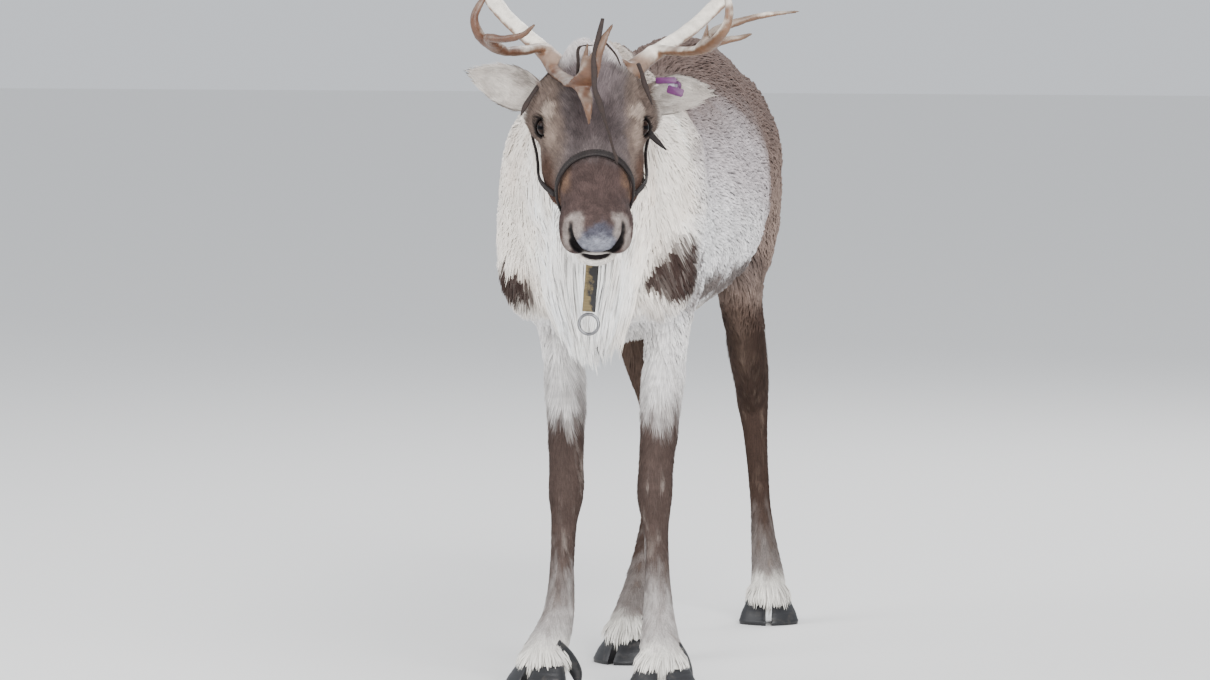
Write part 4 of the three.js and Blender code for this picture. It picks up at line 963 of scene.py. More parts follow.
def coat_piece(name, lots):
    """One joined mesh out of lots of tufts, with its colours, its ways out and its two maps."""
    points, faces, ways, tones, bake, strand = [], [], [], [], [], []
    total = 0
    for lot in lots:
        count, per = lot["p"].shape[:2]
        shape = tuft_faces((per - 1) // 3)
        faces.append((np.arange(count)[:, None, None] * per + shape + total).reshape(-1, 3))
        points.append(lot["p"].reshape(-1, 3))
        ways.append(lot["n"].reshape(-1, 3))
        tones.append(lot["c"].reshape(-1, 3))
        across = np.array([0.0, 1.0, 0.5] * ((per - 1) // 3) + [0.5])
        along = np.array(lot["s"])
        patch = np.stack([across - 0.5, along - 0.5], 1) * 0.003
        bake.append((unwrap(lot["root"])[:, None, :] + patch).reshape(-1, 2))
        strand.append(np.tile(np.stack([across, along], 1), (count, 1)))
        total += count * per
    faces = np.vstack(faces)
    mesh = mesh_of(np.vstack(points), faces)
    coloured(mesh, np.vstack(tones))
    for label, places in (("Strand", strand), ("OFBake", bake)):
        layer = mesh.uv_layers.new(name=label)
        layer.data.foreach_set("uv", np.vstack(places)[faces.ravel()].astype(np.float32).ravel())
    mesh.normals_split_custom_set_from_vertices(np.vstack(ways).astype(np.float32))
    mesh.materials.append(hair)
    piece = shown(name, mesh)
    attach(piece, "root")


# Guard hair: hollow and matt, so it scatters light; fine streaks run along each tuft, 6 to 10 across it.
hair, tree, shader = material("reindeer guard hair", 0.7, Specular_IOR_Level=0.12)
place = add(tree, "ShaderNodeUVMap", {"uv_map": "Strand"})
stretch = add(tree, "ShaderNodeMapping", inputs={"Scale": (7.0, 0.8, 1.0)},
              links={"Vector": place.outputs["UV"]})
where = add(tree, "ShaderNodeTexCoord").outputs["Object"]
spot = add(tree, "ShaderNodeVectorMath", {"operation": "MULTIPLY_ADD"}, {1: (90.0, 90.0, 90.0)},
           {0: where, 2: stretch.outputs["Vector"]})
streak = add(tree, "ShaderNodeTexNoise", inputs={"Scale": 1.0, "Detail": 3.0},
             links={"Vector": spot.outputs["Vector"]})
shaded(tree, shader, streak.outputs["Fac"], (0.3, 0.7), (0.78, 1.18), (0.35, 0.0008))


def is_head(p, n):
    return neck_side(p) < -2


def is_ear(p, n):
    near = np.zeros(len(p), bool)
    for root, tip, face in EARS.values():
        root, way, face, across, length = ear_frame(root, tip, face)
        d = p - root
        off = np.linalg.norm(d - (d @ way)[:, None] * way, axis=1)
        near |= (d @ way > 14) & (d @ way < length * 1.1) & (off < 60)
    return near & (p[:, 2] > 930)


def is_tail(p, n):
    return (p[:, 1] > 962) & (p[:, 2] > 800)


def is_leg(p, n):
    return (p[:, 2] < 560) & (p[:, 1] > -200)


def is_neck(p, n):
    return ~is_head(p, n) & ~is_ear(p, n) & (p[:, 1] < -40) & (p[:, 2] > 560)


def is_trunk(p, n):
    return ~is_neck(p, n) & ~is_leg(p, n) & ~is_tail(p, n) & ~is_head(p, n) & ~is_ear(p, n)


def off_bare(lot):
    """A lot without the tufts that would lie over an eye, a nostril or the mouth."""
    keep = np.ones(len(lot["p"]), bool)
    for spot in (lot["p"][:, -1], lot["p"].mean(1), lot["root"]):
        h = in_head(spot)
        for i in (0, 1):
            keep &= np.linalg.norm(h - EYE_AT[i] - EYE_OUT[i] * 8, axis=-1) > 16.5
        keep &= (near_path(h, NOSTRIL) > 1.2) & (near_path(h, LIPS) > 0.6)
    for key in ("p", "n", "c", "root"):
        lot[key] = lot[key][keep]
    return lot


for label, low, high in (("fore", -400, 330), ("middle", 330, 640), ("rear", 640, 1200)):
    p, n = scattered(5.4, lambda q, m: is_trunk(q, m) & (q[:, 1] >= low) & (q[:, 1] < high), 101)
    deep = ease(p[:, 2], 580, 700)
    lots = [tufts(p, n, 22 + 14 * deep, 4.6, 4 + 5 * deep, seed=111, clump=0.35, gather=9, root_shade=0.74,
                  tip_shade=1.2, vary=0.4)]
    coat_piece("coat_trunk_" + label, lots)

p, n = scattered(4.9, is_neck, 102)
behind = p - HEAD_CUT[1] * np.maximum(24 - neck_side(p), 0)[:, None]
longer = ease(p[:, 1], 20, -200)
lots = [tufts(p, n, 38 + 14 * longer, 3.9, 9, droop=0.5, seed=121, clump=0.4, gather=7, rings=3,
              root_shade=0.92, tip_shade=1.06, vary=0.16, like=behind)]
coat_piece("coat_neck", lots)

for label, some in (
    ("fore", lambda q, m: is_leg(q, m) & (q[:, 1] < 200)),
    ("hind", lambda q, m: is_leg(q, m) & (q[:, 1] >= 200)),
):
    p, n = scattered(3.7, some, 103)
    high = ease(p[:, 2], 330, 560)
    lots = [tufts(p, n, 13 + 15 * high, 3.0, 1.8 + 3.4 * high, seed=131, clump=0.3, gather=8, rings=1, sway=0.2,
                  vary=0.36)]
    coat_piece("coat_legs_" + label, lots)

p, n = scattered(2.4, lambda q, m: is_head(q, m) & ~is_ear(q, m), 104)
u = in_head(p)[:, 0]
rear = ease(u, 60, -90)
nose = ease(u, 150, 215)
lots = [off_bare(tufts(p, n, 8 + 10 * rear - 4 * nose, 2.0 - 0.6 * nose, 1.4 + 2.6 * rear - 0.9 * nose,
                       seed=141, clump=0.25, gather=8, rings=1, sway=0.22, vary=0.5))]
coat_piece("coat_face", lots)

p, n = scattered(2.7, is_ear, 105)
ways = np.zeros(p.shape)
for place in EARS.values():
    root, way, face, across, length = ear_frame(*place)
    ways[np.linalg.norm(p - root - way * length / 2, axis=1) < 95] = way
lots = [tufts(p, n, np.full(len(p), 13.0), 2.4, 2.4, way=laid(ways, n), seed=151, clump=0.3, gather=8, rings=1,
              vary=0.3)]
coat_piece("coat_ears", lots)

p, n = scattered(3.6, is_tail, 106)
lots = [tufts(p, n, np.full(len(p), 26.0), 3.6, 3.5, seed=161, clump=0.3, gather=8, root_shade=0.9, vary=0.2)]
coat_piece("coat_tail", lots)


def is_mane(p, n):
    h = p - np.array([14.0, -170.0, 0])
    ahead = (h[:, 0] * n[:, 0] - 60 * n[:, 1] - 40 * n[:, 2] * (p[:, 2] < 700)) > 10
    middle = (p[:, 2] < 885) & (p[:, 2] > 600) & (np.abs(p[:, 0] - 26) < 88) & (p[:, 1] < -128)
    return is_neck(p, n) & (neck_side(p) > 14) & middle & ahead


# Throat mane: long white locks from the throat and the breast that hang in overlapping rows to a point.
def hanging(p, n, sideways, back):
    """The forward way out of a lock that hangs, how it lies, and the places whose colours it has."""
    n = unit(n * np.array([1, 1, 0.25]) + np.array([0, -0.35, 0.1]))
    drop = unit(np.stack([sideways, back + 0 * p[:, 2], -np.ones(len(p))], 1))
    return n, laid(drop, n), np.maximum(p, (-1e3, -1e3, 700))


p, n = scattered(5.6, is_mane, 107)
low = ease(p[:, 2], 860, 690)
n, way, like = hanging(p, n, 0.10 * cloud(p, 50, 7) - low * (p[:, 0] - 34) / 190, 0.03)
lots = [tufts(p, n, 60 + 26 * low, 4.8, 8, droop=0.7, rings=3, sway=0.12, clump=0.5, gather=9, seed=171,
              way=way, tip_shade=1.05, root_shade=0.9, vary=0.14, like=like)]
p, n = scattered(4.0, lambda q, m: is_mane(q, m) & (q[:, 2] < 712) & (np.abs(q[:, 0] - 34) < 56), 109)
n, way, like = hanging(p, n, -(p[:, 0] - 34) / 170, 0.02)
lots.append(tufts(p, n, np.full(len(p), 82.0), 5.4, 5, droop=0.8, rings=3, sway=0.08, clump=0.6, gather=12,
                  seed=172, way=way, tip_shade=1.03, root_shade=0.94, vary=0.1, like=like))
for lot in lots:
    lot["p"][:, -1, 2] -= 10
    lot["p"][:, -1, 0] += (34 - lot["p"][:, -1, 0]) * 0.16
coat_piece("coat_mane", lots)

# Hair over the feet hangs from the pasterns across the upper half of the hooves.
p, n = scattered(4.2, lambda q, m: (q[:, 2] < 74) & (m[:, 2] > -0.95), 108)
out = np.stack([n[:, 0] * 0.5, n[:, 1] * 0.5, -np.ones(len(p))], 1)
way = unit(out - n * (out * n).sum(1, keepdims=True) * 0.6)
length = np.clip(p[:, 2] - 16, 8, 30)
lots = [tufts(p, n, length, 3.6, 5, droop=-0.2, rings=2, sway=0.3, clump=0.4, gather=7, seed=181, way=way)]
coat_piece("coat_feet", lots)

# Eyes
# Dark brown eyeballs, wet and glossy, with a long level pupil that hardly shows.
# Each is a ball of 36 mm that sits in its socket behind the lids.


def round_ball(centre, radius, out, up, name):
    """A fine eyeball whose colours follow the angle from its own way out."""
    work = bmesh.new()
    bmesh.ops.create_icosphere(work, subdivisions=5, radius=1)
    mesh = bpy.data.meshes.new(name)
    work.to_mesh(mesh)
    work.free()
    ways = corners(mesh)
    bulge = 1 + 0.045 * ease(ways @ out, 0.80, 1.0)
    mesh.vertices.foreach_set("co", metres(centre + radius * ways * bulge[:, None]).ravel())
    angle = np.degrees(np.arccos(np.clip(ways @ out, -1, 1)))
    level = np.abs(ways @ up)
    along = np.abs(ways @ np.cross(out, up))
    layers = [
        ("#2a1a13", ease(angle, 42, 30) * (0.6 + 0.4 * cloud(ways * 40, 4, 3))),
        ("#050405", ease(level, 0.20, 0.15) * ease(along, 0.44, 0.38) * ease(angle, 60, 50)),
        ("#0c0908", ease(angle, 42, 50)),
    ]
    mesh.update()
    mesh.shade_smooth()
    coloured(mesh, painted("#0f0b0a", layers, ways.shape))
    return mesh


# Eye: a clear wet cornea over a dark iris, so almost only its reflections show.
cornea, tree, shader = material("dark wet eye", 0.08, Specular_IOR_Level=0.09)
tone = add(tree, "ShaderNodeAttribute", {"attribute_name": "Coat"})
tree.links.new(tone.outputs["Color"], shader.inputs["Base Color"])
for i, name in enumerate(("eye_left", "eye_right")):
    out = EYE_OUT[i] @ HEAD_AXES
    up = np.array([0.0, 0, 1]) - out * out[2]
    shape = round_ball(on_head(EYE_AT[i]), EYE_RADIUS - 0.1, out, unit(up), name)
    eye = shown(name + "_ball", shape)
    eye.data.materials.append(cornea)
    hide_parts(name)
    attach(eye, "root")

# Antlers
# Bone that is flattened where it forks, pale and polished, browner where it faces down and forwards, partly its
# own stain and partly painted shade, with darker tips.
# Each beam grows from the skull behind the eye; stations are a place, half width and half thickness.
RIGHT_BEAM = [
    (14, -346, 1024, 19, 17), (0, -336, 1052, 19, 17), (-31, -312, 1080, 14, 12), (-78, -270, 1112, 13, 11),
    (-125, -228, 1150, 13, 10), (-186, -168, 1228, 13, 10), (-244, -112, 1330, 12, 10),
    (-272, -92, 1440, 13, 9), (-262, -122, 1545, 18, 8), (-226, -186, 1622, 26, 7), (-196, -232, 1650, 20, 6),
]
LEFT_BEAM = [
    (100, -326, 1018, 19, 17), (114, -314, 1044, 19, 17), (135, -279, 1068, 15, 12), (166, -233, 1092, 14, 11),
    (197, -176, 1121, 13, 10), (252, -86, 1192, 13, 10), (312, -8, 1300, 12, 10), (342, 22, 1412, 13, 9),
    (336, -4, 1520, 18, 8), (304, -66, 1602, 26, 7), (278, -112, 1632, 20, 6),
]
RIGHT_BROW = [
    [(-6, -340, 1052, 13, 9), (1, -366, 1048, 13, 8), (32, -422, 1036, 14, 6), (66, -496, 1032, 20, 5),
     (88, -523, 1050, 15, 4), (102, -530, 1083, 9, 4), (114, -528, 1109, 6, 3), (122, -516, 1126, 2, 2)],
    [(62, -490, 1034, 12, 4), (80, -518, 1014, 11, 4), (87, -533, 992, 7, 3), (86, -523, 971, 2, 2)],
    [(74, -508, 1040, 8, 4), (78, -524, 1066, 5, 3), (86, -532, 1096, 2, 2)],
]
RIGHT_BEZ = [
    [(-26, -318, 1080, 12, 9), (-32, -332, 1084, 11, 8), (-53, -387, 1081, 11, 8), (-77, -443, 1084, 10, 7),
     (-97, -487, 1107, 9, 7), (-104, -499, 1135, 7, 6), (-92, -487, 1166, 5, 4), (-70, -470, 1196, 2, 2)],
    [(-74, -440, 1086, 9, 7), (-76, -524, 1105, 8, 7), (-42, -558, 1104, 7, 6), (-10, -572, 1111, 5, 5),
     (11, -579, 1128, 2, 2)],
]
LEFT_BROW = [[(114, -318, 1052, 10, 8), (108, -328, 1058, 8, 6), (100, -337, 1068, 2, 2)]]
LEFT_BEZ = [
    [(140, -262, 1076, 12, 9), (160, -274, 1080, 11, 8), (204, -317, 1079, 11, 8), (241, -361, 1086, 11, 8),
     (270, -396, 1103, 9, 7), (288, -413, 1126, 8, 6), (291, -412, 1148, 7, 5), (284, -403, 1178, 5, 4),
     (270, -392, 1206, 2, 2)],
    [(238, -358, 1088, 9, 7), (260, -357, 1113, 8, 7), (288, -341, 1126, 7, 6), (326, -324, 1137, 5, 5),
     (384, -292, 1144, 2, 2)],
    [(246, -364, 1088, 8, 6), (273, -375, 1098, 7, 6), (301, -369, 1103, 5, 5), (317, -356, 1109, 2, 2)],
    [(244, -366, 1092, 8, 6), (247, -374, 1106, 5, 4), (250, -379, 1124, 2, 2)],
]
RIGHT_TOP = [
    [(-252, -106, 1366, 9, 7), (-272, -62, 1384, 6, 5), (-286, -22, 1418, 2, 2)],
    [(-246, -156, 1580, 14, 6), (-276, -190, 1636, 8, 5), (-280, -216, 1690, 2, 2)],
    [(-222, -192, 1624, 12, 6), (-232, -236, 1672, 7, 4), (-226, -270, 1711, 2, 2)],
]
LEFT_TOP = [
    [(318, -2, 1340, 9, 7), (338, 42, 1356, 6, 5), (356, 82, 1388, 2, 2)],
    [(322, -34, 1556, 14, 6), (352, -62, 1612, 8, 5), (360, -84, 1664, 2, 2)],
    [(302, -70, 1602, 12, 6), (312, -116, 1650, 7, 4), (308, -150, 1690, 2, 2)],
]


def outside(p, path, count):
    """How far places lie outside the nearest ball along a smooth path."""
    spots = curve(path, count)
    return (np.linalg.norm(p[:, None, :] - spots[None, :, :3], axis=2) - spots[:, 3]).min(1)


def antler_tones(p, n, beam, brow, tines):
    """Pale bone, brown on the tines and darker towards the tips; browner where it faces down and forwards,
    partly stain and partly painted shade.
    """
    grain = cloud(p, 26, 51) + 0.6 * cloud(p, 8, 52)
    gap = outside(p, beam, 60)
    far = np.min([outside(p, path, 24) for path in tines], 0)
    on_brow = ease(gap - np.min([outside(p, path, 24) for path in brow], 0), -4, 10)
    foot = np.linalg.norm(p - np.array(beam[1][:3]), axis=1) + 6 * grain
    layers = [
        # Painted shade with the bone's own stain: brown on the sides that face down and forwards.
        ("#7c5d46", ease(-n[:, 2] + 0.25 * grain - 0.35 * n[:, 1], -0.05, 0.5)),
        ("#5f422e", ease(gap - far, -6, 16) * ease(grain, -1.2, 0.8) * 0.85),
        ("#583a2b", on_brow * (0.8 + 0.2 * np.clip(grain, -1, 1))),
        ("#7b5a45", ease(foot, 66, 30) * 0.85),
    ]
    for path in [*tines, *brow]:
        tip = np.linalg.norm(p - np.array(path[-1][:3]), axis=1)
        layers.append(("#5d4433", ease(tip, 60, 14) * 0.75))
    # A raw red spot on the front edge of the right brow tine.
    spot = np.linalg.norm(p - np.array([101.0, -527, 1024]), axis=1)
    layers.append(("#c0431c", ease(spot, 13, 6) * on_brow))
    return np.clip(painted("#efe6d8", layers, p.shape) * (1 + 0.10 * grain)[:, None], 0, 1)


# Antler bone: hard and slightly waxy, with pores about 3 mm apart and furrows that hold dirt.
bone, tree, shader = material("antler bone", 0.42, Specular_IOR_Level=0.45)
where = add(tree, "ShaderNodeTexCoord").outputs["Object"]
pores = add(tree, "ShaderNodeTexNoise", inputs={"Scale": 330.0, "Detail": 5.0}, links={"Vector": where})
furrow = add(tree, "ShaderNodeTexNoise", inputs={"Scale": 60.0, "Detail": 3.0, "Distortion": 0.6},
             links={"Vector": where})
both = add(tree, "ShaderNodeMath", {"operation": "MULTIPLY_ADD"}, {1: 0.35},
           {0: pores.outputs["Fac"], 2: furrow.outputs["Fac"]})
shaded(tree, shader, both.outputs["Value"], (0.45, 0.95), (0.74, 1.12), (0.6, 0.0012))

ANTLER_STEP = 2.5
for side, beam, brow, bez, top in (
    ("left", LEFT_BEAM, LEFT_BROW, LEFT_BEZ, LEFT_TOP),
    ("right", RIGHT_BEAM, RIGHT_BROW, RIGHT_BEZ, RIGHT_TOP),
):
    tines = [*bez, *top]
    paths = [beam, *brow, *tines]
    stations = np.vstack([np.array(path, float) for path in paths])
    low = stations[:, :3].min(0) - 24
    high = stations[:, :3].max(0) + 24
    axes = grid(low, high, ANTLER_STEP)
    field = blended([(limb(beam, pieces=6), 1)] + [(limb(path, pieces=5), 7) for path in paths[1:]], axes, 6)
    points, quads = netted(field, axes)
    mesh = mesh_of(points, quads)
    _, _, ways = surface_of(mesh)
    relief = 0.7 * cloud(points, 16, 55) + 0.45 * cloud(points, 6, 56)
    points = points + ways * relief[:, None]
    mesh = mesh_of(points, quads)
    points, _, ways = surface_of(mesh)
    coloured(mesh, antler_tones(points, ways, beam, brow, tines))
    mesh.materials.append(bone)
    antler = shown(f"antler_{side}_bone", mesh)
    parts = ("lower_beam", "upper_beam", "brow_tine", "bez_tine", "rear_tine", "crown_tine_1", "crown_tine_2")
    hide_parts(*[f"antler_{side}_{part}" for part in parts])
    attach(antler, "root")


def swept(stations, sides=10, count=None, closed=False, side=(1, 0, 0), square=0.0, turns=None):
    """A tube or strap along a smooth curve; square above 0 makes its section a rounded rectangle."""
    spots = curve(stations, count or len(stations) * 4, closed)
    n = len(spots)
    points, faces = [], []
    hints = np.broadcast_to(np.array(side, float), (n, 3)) if turns is None else turns(spots)
    for i, spot in enumerate(spots):
        before = spots[(i - 1) % n] if closed or i > 0 else spot
        after = spots[(i + 1) % n] if closed or i < n - 1 else spot
        along = unit(after[:3] - before[:3])
        v = unit(hints[i] - along * (hints[i] @ along))
        w = np.cross(along, v)
        for k in range(sides):
            angle = k / sides * 2 * math.pi
            c, d = math.cos(angle), math.sin(angle)
            if square:
                reach = (abs(c) ** square + abs(d) ** square) ** (-1 / square)
                c, d = c * reach, d * reach
            points.append(spot[:3] + v * c * spot[3] + w * d * spot[4])
    for i in range(n if closed else n - 1):
        j = (i + 1) % n
        for k in range(sides):
            m = (k + 1) % sides
            faces.append((i * sides + k, i * sides + m, j * sides + m, j * sides + k))
    if not closed:
        for i, turned in ((0, True), (n - 1, False)):
            points.append(spots[i][:3])
            tip = len(points) - 1
            for k in range(sides):
                a, b = i * sides + k, i * sides + (k + 1) % sides
                faces.append((tip, b, a, a) if turned else (tip, a, b, b))
    return np.array(points), faces


def swept_mesh(*lots):
    """One mesh out of several swept shapes."""
    points, faces, total = [], [], 0
    for spots, some in lots:
        points.append(spots)
        faces += [[i + total for i in dict.fromkeys(face)] for face in some]
        total += len(spots)
    mesh = bpy.data.meshes.new("shape")
    mesh.from_pydata(metres(np.vstack(points)).tolist(), [], faces)
    mesh.update()
    mesh.shade_smooth()
    return mesh


# Dried velvet still hangs from the antlers in dark, thin, twisted strips.
def mottled(name, roughness, dark, light, scale, detail=2.0, relief=None, **sockets):
    """A material whose colour wanders between two tones over noise of that scale, and its relief."""
    made, tree, shader = material(name, roughness, **sockets)
    where = add(tree, "ShaderNodeTexCoord").outputs["Object"]
    wander = add(tree, "ShaderNodeTexNoise", inputs={"Scale": scale, "Detail": detail}, links={"Vector": where})
    tones = add(tree, "ShaderNodeMix", {"data_type": "RGBA"}, {6: rgba(dark), 7: rgba(light)},
                {"Factor": wander.outputs["Fac"]})
    finish(tree, shader, tones.outputs[2], wander.outputs["Fac"], relief)
    return made


# Velvet strips: dried skin, dull and nearly black, brown where it frays.
velvet = mottled("dried antler velvet", 0.8, "#0b0808", "#33221b", 240.0, 4.0, (0.7, 0.0012))
SHREDS = [
    [(108, -522, 1136, 3, 1.6), (104, -531, 1112, 4.6, 1.8), (96, -535, 1078, 3.6, 1.4),
     (98, -540, 1052, 5.2, 1.8), (99, -543, 1026, 4.2, 1.6), (106, -540, 1004, 5.6, 2),
     (113, -534, 978, 3, 1.4), (119, -526, 954, 2.4, 1.2), (124, -517, 930, 2.2, 1.2),
     (128, -514, 916, 3.4, 1.8), (129, -512, 906, 1.2, 1)],
    [(104, -528, 1106, 2.4, 1.2), (118, -522, 1092, 2, 1), (128, -514, 1078, 1.6, 1),
     (134, -508, 1062, 0.8, 0.8)],
    [(130, -338, 1060, 3.6, 1.8), (139, -356, 1046, 3.4, 1.6), (146, -370, 1030, 4.6, 1.8),
     (154, -380, 1014, 3.4, 1.6), (162, -386, 996, 1, 1)],
    [(-12, -352, 1044, 4.6, 2), (-24, -376, 1026, 5, 2), (-34, -396, 1008, 4, 1.8), (-42, -404, 992, 4.6, 1.8),
     (-48, -408, 978, 1, 1)],
    [(60, -486, 1042, 3, 1.4), (64, -500, 1064, 2.8, 1.4), (68, -512, 1090, 2.6, 1.2),
     (92, -520, 1094, 1.4, 0.8)],
]
strips = [swept(path, 7, len(path) * 5, side=(1, 0, 0.2)) for path in SHREDS]
shreds = shown("velvet_shreds", turned_out(swept_mesh(*strips)))
shreds.data.materials.append(velvet)
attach(shreds, "root")

# Hooves and dewclaws
# Two broad crescent toes of dark horn to each foot, with growth ridges, and two dewclaws behind.
# The soles are flat, and the cleft between the toes stays open.
# Each foot: its middle on the floor, its turn in degrees and its size against a fore foot.
FEET = {
    "front_left": ((122, -74), -8, 1),
    "front_right": ((-94, -70), 24, 1),
    "hind_left": ((131, 950), -10, 0.88),
    "hind_right": ((-27, 352), 20, 0.88),
}
HOOF_HEIGHT, HOOF_LENGTH, HOOF_WIDTH, HOOF_CLEFT = 48, 96, 56, 8

# Hoof horn: dark, half-dull, with level growth ridges 4 to 6 mm apart and dry dust in its scuffs.
horn, tree, shader = material("hoof horn", 0.42)
where = add(tree, "ShaderNodeTexCoord").outputs["Object"]
turn = add(tree, "ShaderNodeMapping", inputs={"Scale": (14.0, 14.0, 150.0)}, links={"Vector": where})
ridge = add(tree, "ShaderNodeTexNoise", inputs={"Scale": 1.6, "Detail": 4.0},
            links={"Vector": turn.outputs["Vector"]})
dirt = add(tree, "ShaderNodeTexNoise", inputs={"Scale": 70.0, "Detail": 5.0}, links={"Vector": where})
clean = add(tree, "ShaderNodeMix", {"data_type": "RGBA"}, {6: rgba("#0b0b0d"), 7: rgba("#232326")},
            {"Factor": ridge.outputs["Fac"]})
worn = add(tree, "ShaderNodeMapRange",
           inputs={"From Min": 0.55, "From Max": 0.75, "To Min": 0.0, "To Max": 0.5},
           links={"Value": dirt.outputs["Fac"]})
dusty = add(tree, "ShaderNodeMix", {"data_type": "RGBA"}, {7: rgba("#4b4640")},
            {"Factor": worn.outputs["Result"], 6: clean.outputs[2]})
finish(tree, shader, dusty.outputs[2], ridge.outputs["Fac"], (0.5, 0.001))


def foot_place(points, foot):
    at, turn, _ = foot
    a = -math.radians(turn)
    c, d = math.cos(a), math.sin(a)
    x, y, z = points[:, 0], points[:, 1], points[:, 2]
    return np.stack([c * x - d * y + at[0], d * x + c * y + at[1], z], 1)


def hoof_net(foot, side, steps=26, rings=16):
    """A toe: rings of a half crescent from the sole up, leaning back, closed above and below."""
    scale = foot[2]
    heights = np.array([0, 7, 26, HOOF_HEIGHT], float)
    points = []
    for z in np.concatenate([[0, 1.2], np.linspace(4, HOOF_HEIGHT, rings)]):
        part = np.interp(z, heights, [0.97, 1, 0.88, 0.66]) - (0.012 if z == 0 else 0)
        part += 0.006 * math.sin(z * 0.9)
        back = np.interp(z, heights, [0, 0, -7, -17])
        for i in range(2 * steps):
            t = i / steps if i <= steps else (2 * steps - i) / steps
            outer = 0 < i < steps
            x = HOOF_WIDTH * math.sin(math.pi * t**1.15) ** 0.8 if outer else 3 * math.sin(math.pi * t)
            y = HOOF_LENGTH * (t - 0.5)
            spot = (scale * (HOOF_CLEFT / 2 + 2 + (x - 4) * part + 4), scale * (y * part + back))
            points.append((side * spot[0], -spot[1], z if z == 0 else z * scale))
    points = np.array(points)
    ring = 2 * steps
    rows = len(points) // ring
    faces = []
    for r in range(rows - 1):
        for i in range(ring):
            a, b = r * ring + i, r * ring + (i + 1) % ring
            faces.append((a, b, b + ring, a + ring))
    for start in (0, (rows - 1) * ring):
        for i in range(1, steps):
            a, b, c, d = i, i + 1, ring - i, ring - i - 1
            if i == 1:
                faces.append((start, start + c, start + a))
            last = (a, c, d, b) if i < steps - 1 else (a, c, steps)
            faces.append(tuple(start + q for q in last))
    return foot_place(points, foot), faces


def dewclaw_net(foot, side):
    scale = foot[2]
    table = [(20, 26, 84, 11, 10), (31, 48, 58, 12, 11), (38, 60, 34, 11, 9), (41, 64, 16, 6, 5)]
    path = np.array([(side * x, y, z, a, b) for x, y, z, a, b in table]) * scale
    path[:, :3] = foot_place(path[:, :3], foot)
    return swept(path, 14, 14)


for place, foot in FEET.items():
    for side, which in ((1, 0), (-1, 1)):
        label = ("outer", "inner")[which if place.endswith("left") else 1 - which]
        for kind, net in (("hoof", hoof_net(foot, side)), ("dewclaw", dewclaw_net(foot, side))):
            mesh = turned_out(swept_mesh(net), 1e-5)
            mesh.materials.append(horn)
            claw = shown(f"{place}_{kind}_{label}_horn", mesh)
            edges = claw.modifiers.new("edges", "BEVEL")
            edges.width = 0.0012
            edges.segments = 2
            edges.limit_method = "ANGLE"
            edges.angle_limit = math.radians(50)
            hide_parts(f"{place}_{kind}_{label}")
            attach(claw, "root")

# Halter
# A band of black leather round the nose with a thin strap up each cheek, pressed into the hair.
# From its underside hangs a drop of webbing with a plain steel ring sewn in; no lead is on it.
STRAP_WIDTH, STRAP_THICK, STRAP_LIFT = 11, 4, 1.9
head_parts = head_forms("turned") + [(limb(NECK), 30)]


def distance(parts, p):
    """Distance of any places to parts joined one after another."""
    d = np.full(len(p), 1e3)
    for spans, k in parts:
        e = np.min([at(p) for _, _, at in spans], 0)
        h = np.maximum(k - np.abs(d - e), 0) / k
        d = np.minimum(d, e) - h * h * k / 4
    return d


def leaves(start, way, furthest=260.0):
    """Where rays from inside the head come out of its coat."""
    start, way = np.array(start, float), unit(np.array(way, float))
    low, high = np.zeros(len(start)), np.full(len(start), furthest)
    for s in np.arange(4, furthest, 4.0):
        out = (distance(head_parts, start + way * s) > 0) & (high == furthest)
        high[out] = s
        low[(high == furthest)] = s
    for _ in range(12):
        middle = (low + high) / 2
        out = distance(head_parts, start + way * middle[:, None]) > 0
        high = np.where(out, middle, high)
        low = np.where(out, low, middle)
    return start + way * high[:, None]


def outwards(p):
    steps = [distance(head_parts, p + step) - distance(head_parts, p - step) for step in np.eye(3)]
    return unit(np.stack(steps, 1))


def strap(start, way, width, closed):
    """A flat strap with rounded edges that lies on the head along those places."""
    line = leaves(start, way)
    out = outwards(line)
    middle = line + out * (STRAP_LIFT + STRAP_THICK / 2)
    sizes = np.tile([STRAP_THICK / 2, width / 2], (len(line), 1))
    stations = np.hstack([middle, sizes])
    spots, faces = swept(stations, 20, len(stations) * 3, closed, turns=lambda q: outwards(q[:, :3]), square=5)
    return swept_mesh((spots, faces)), middle


# Worn black leather: half-dull, brown where it rubs, with fine creases about 2 mm apart.
leather, tree, shader = material("worn black leather", 0.55, Specular_IOR_Level=0.2)
where = add(tree, "ShaderNodeTexCoord").outputs["Object"]
crease = add(tree, "ShaderNodeTexVoronoi", {"feature": "DISTANCE_TO_EDGE"}, {"Scale": 520.0}, {"Vector": where})
rub = add(tree, "ShaderNodeTexNoise", inputs={"Scale": 60.0, "Detail": 6.0}, links={"Vector": where})
tones = add(tree, "ShaderNodeMix", {"data_type": "RGBA"}, {6: rgba("#0c0a0b"), 7: rgba("#2c2524")},
            {"Factor": rub.outputs["Fac"]})
finish(tree, shader, tones.outputs[2], crease.outputs["Distance"], (0.35, 0.0006))

around = np.arange(28) / 28 * 2 * math.pi
nose_u = 160 + (94 - 160) * (1 + np.cos(around)) / 2
nose_start = on_head(np.stack([nose_u, 0 * nose_u, 0 * nose_u - 14], 1))
nose_way = np.stack([0 * around, np.sin(around), np.cos(around)], 1) @ HEAD_AXES
straps = {"halter_noseband": (nose_start, nose_way, STRAP_WIDTH, True)}
# The cheek straps' places down the face, and their turn below level in degrees.
CHEEK = [(114, -14), (92, -19), (66, -25), (40, -30), (14, -33), (-14, -34), (-42, -31), (-66, -26)]
CHEEK = np.array(CHEEK, float)
for name, s in (("halter_cheek_left", 1), ("halter_cheek_right", -1)):
    turn = np.radians(CHEEK[:, 1])
    way = np.stack([0 * turn, s * np.cos(turn), np.sin(turn)], 1) @ HEAD_AXES
    straps[name] = (on_head(np.stack([CHEEK[:, 0], 0 * turn, 0 * turn - 10], 1)), way, 9, False)


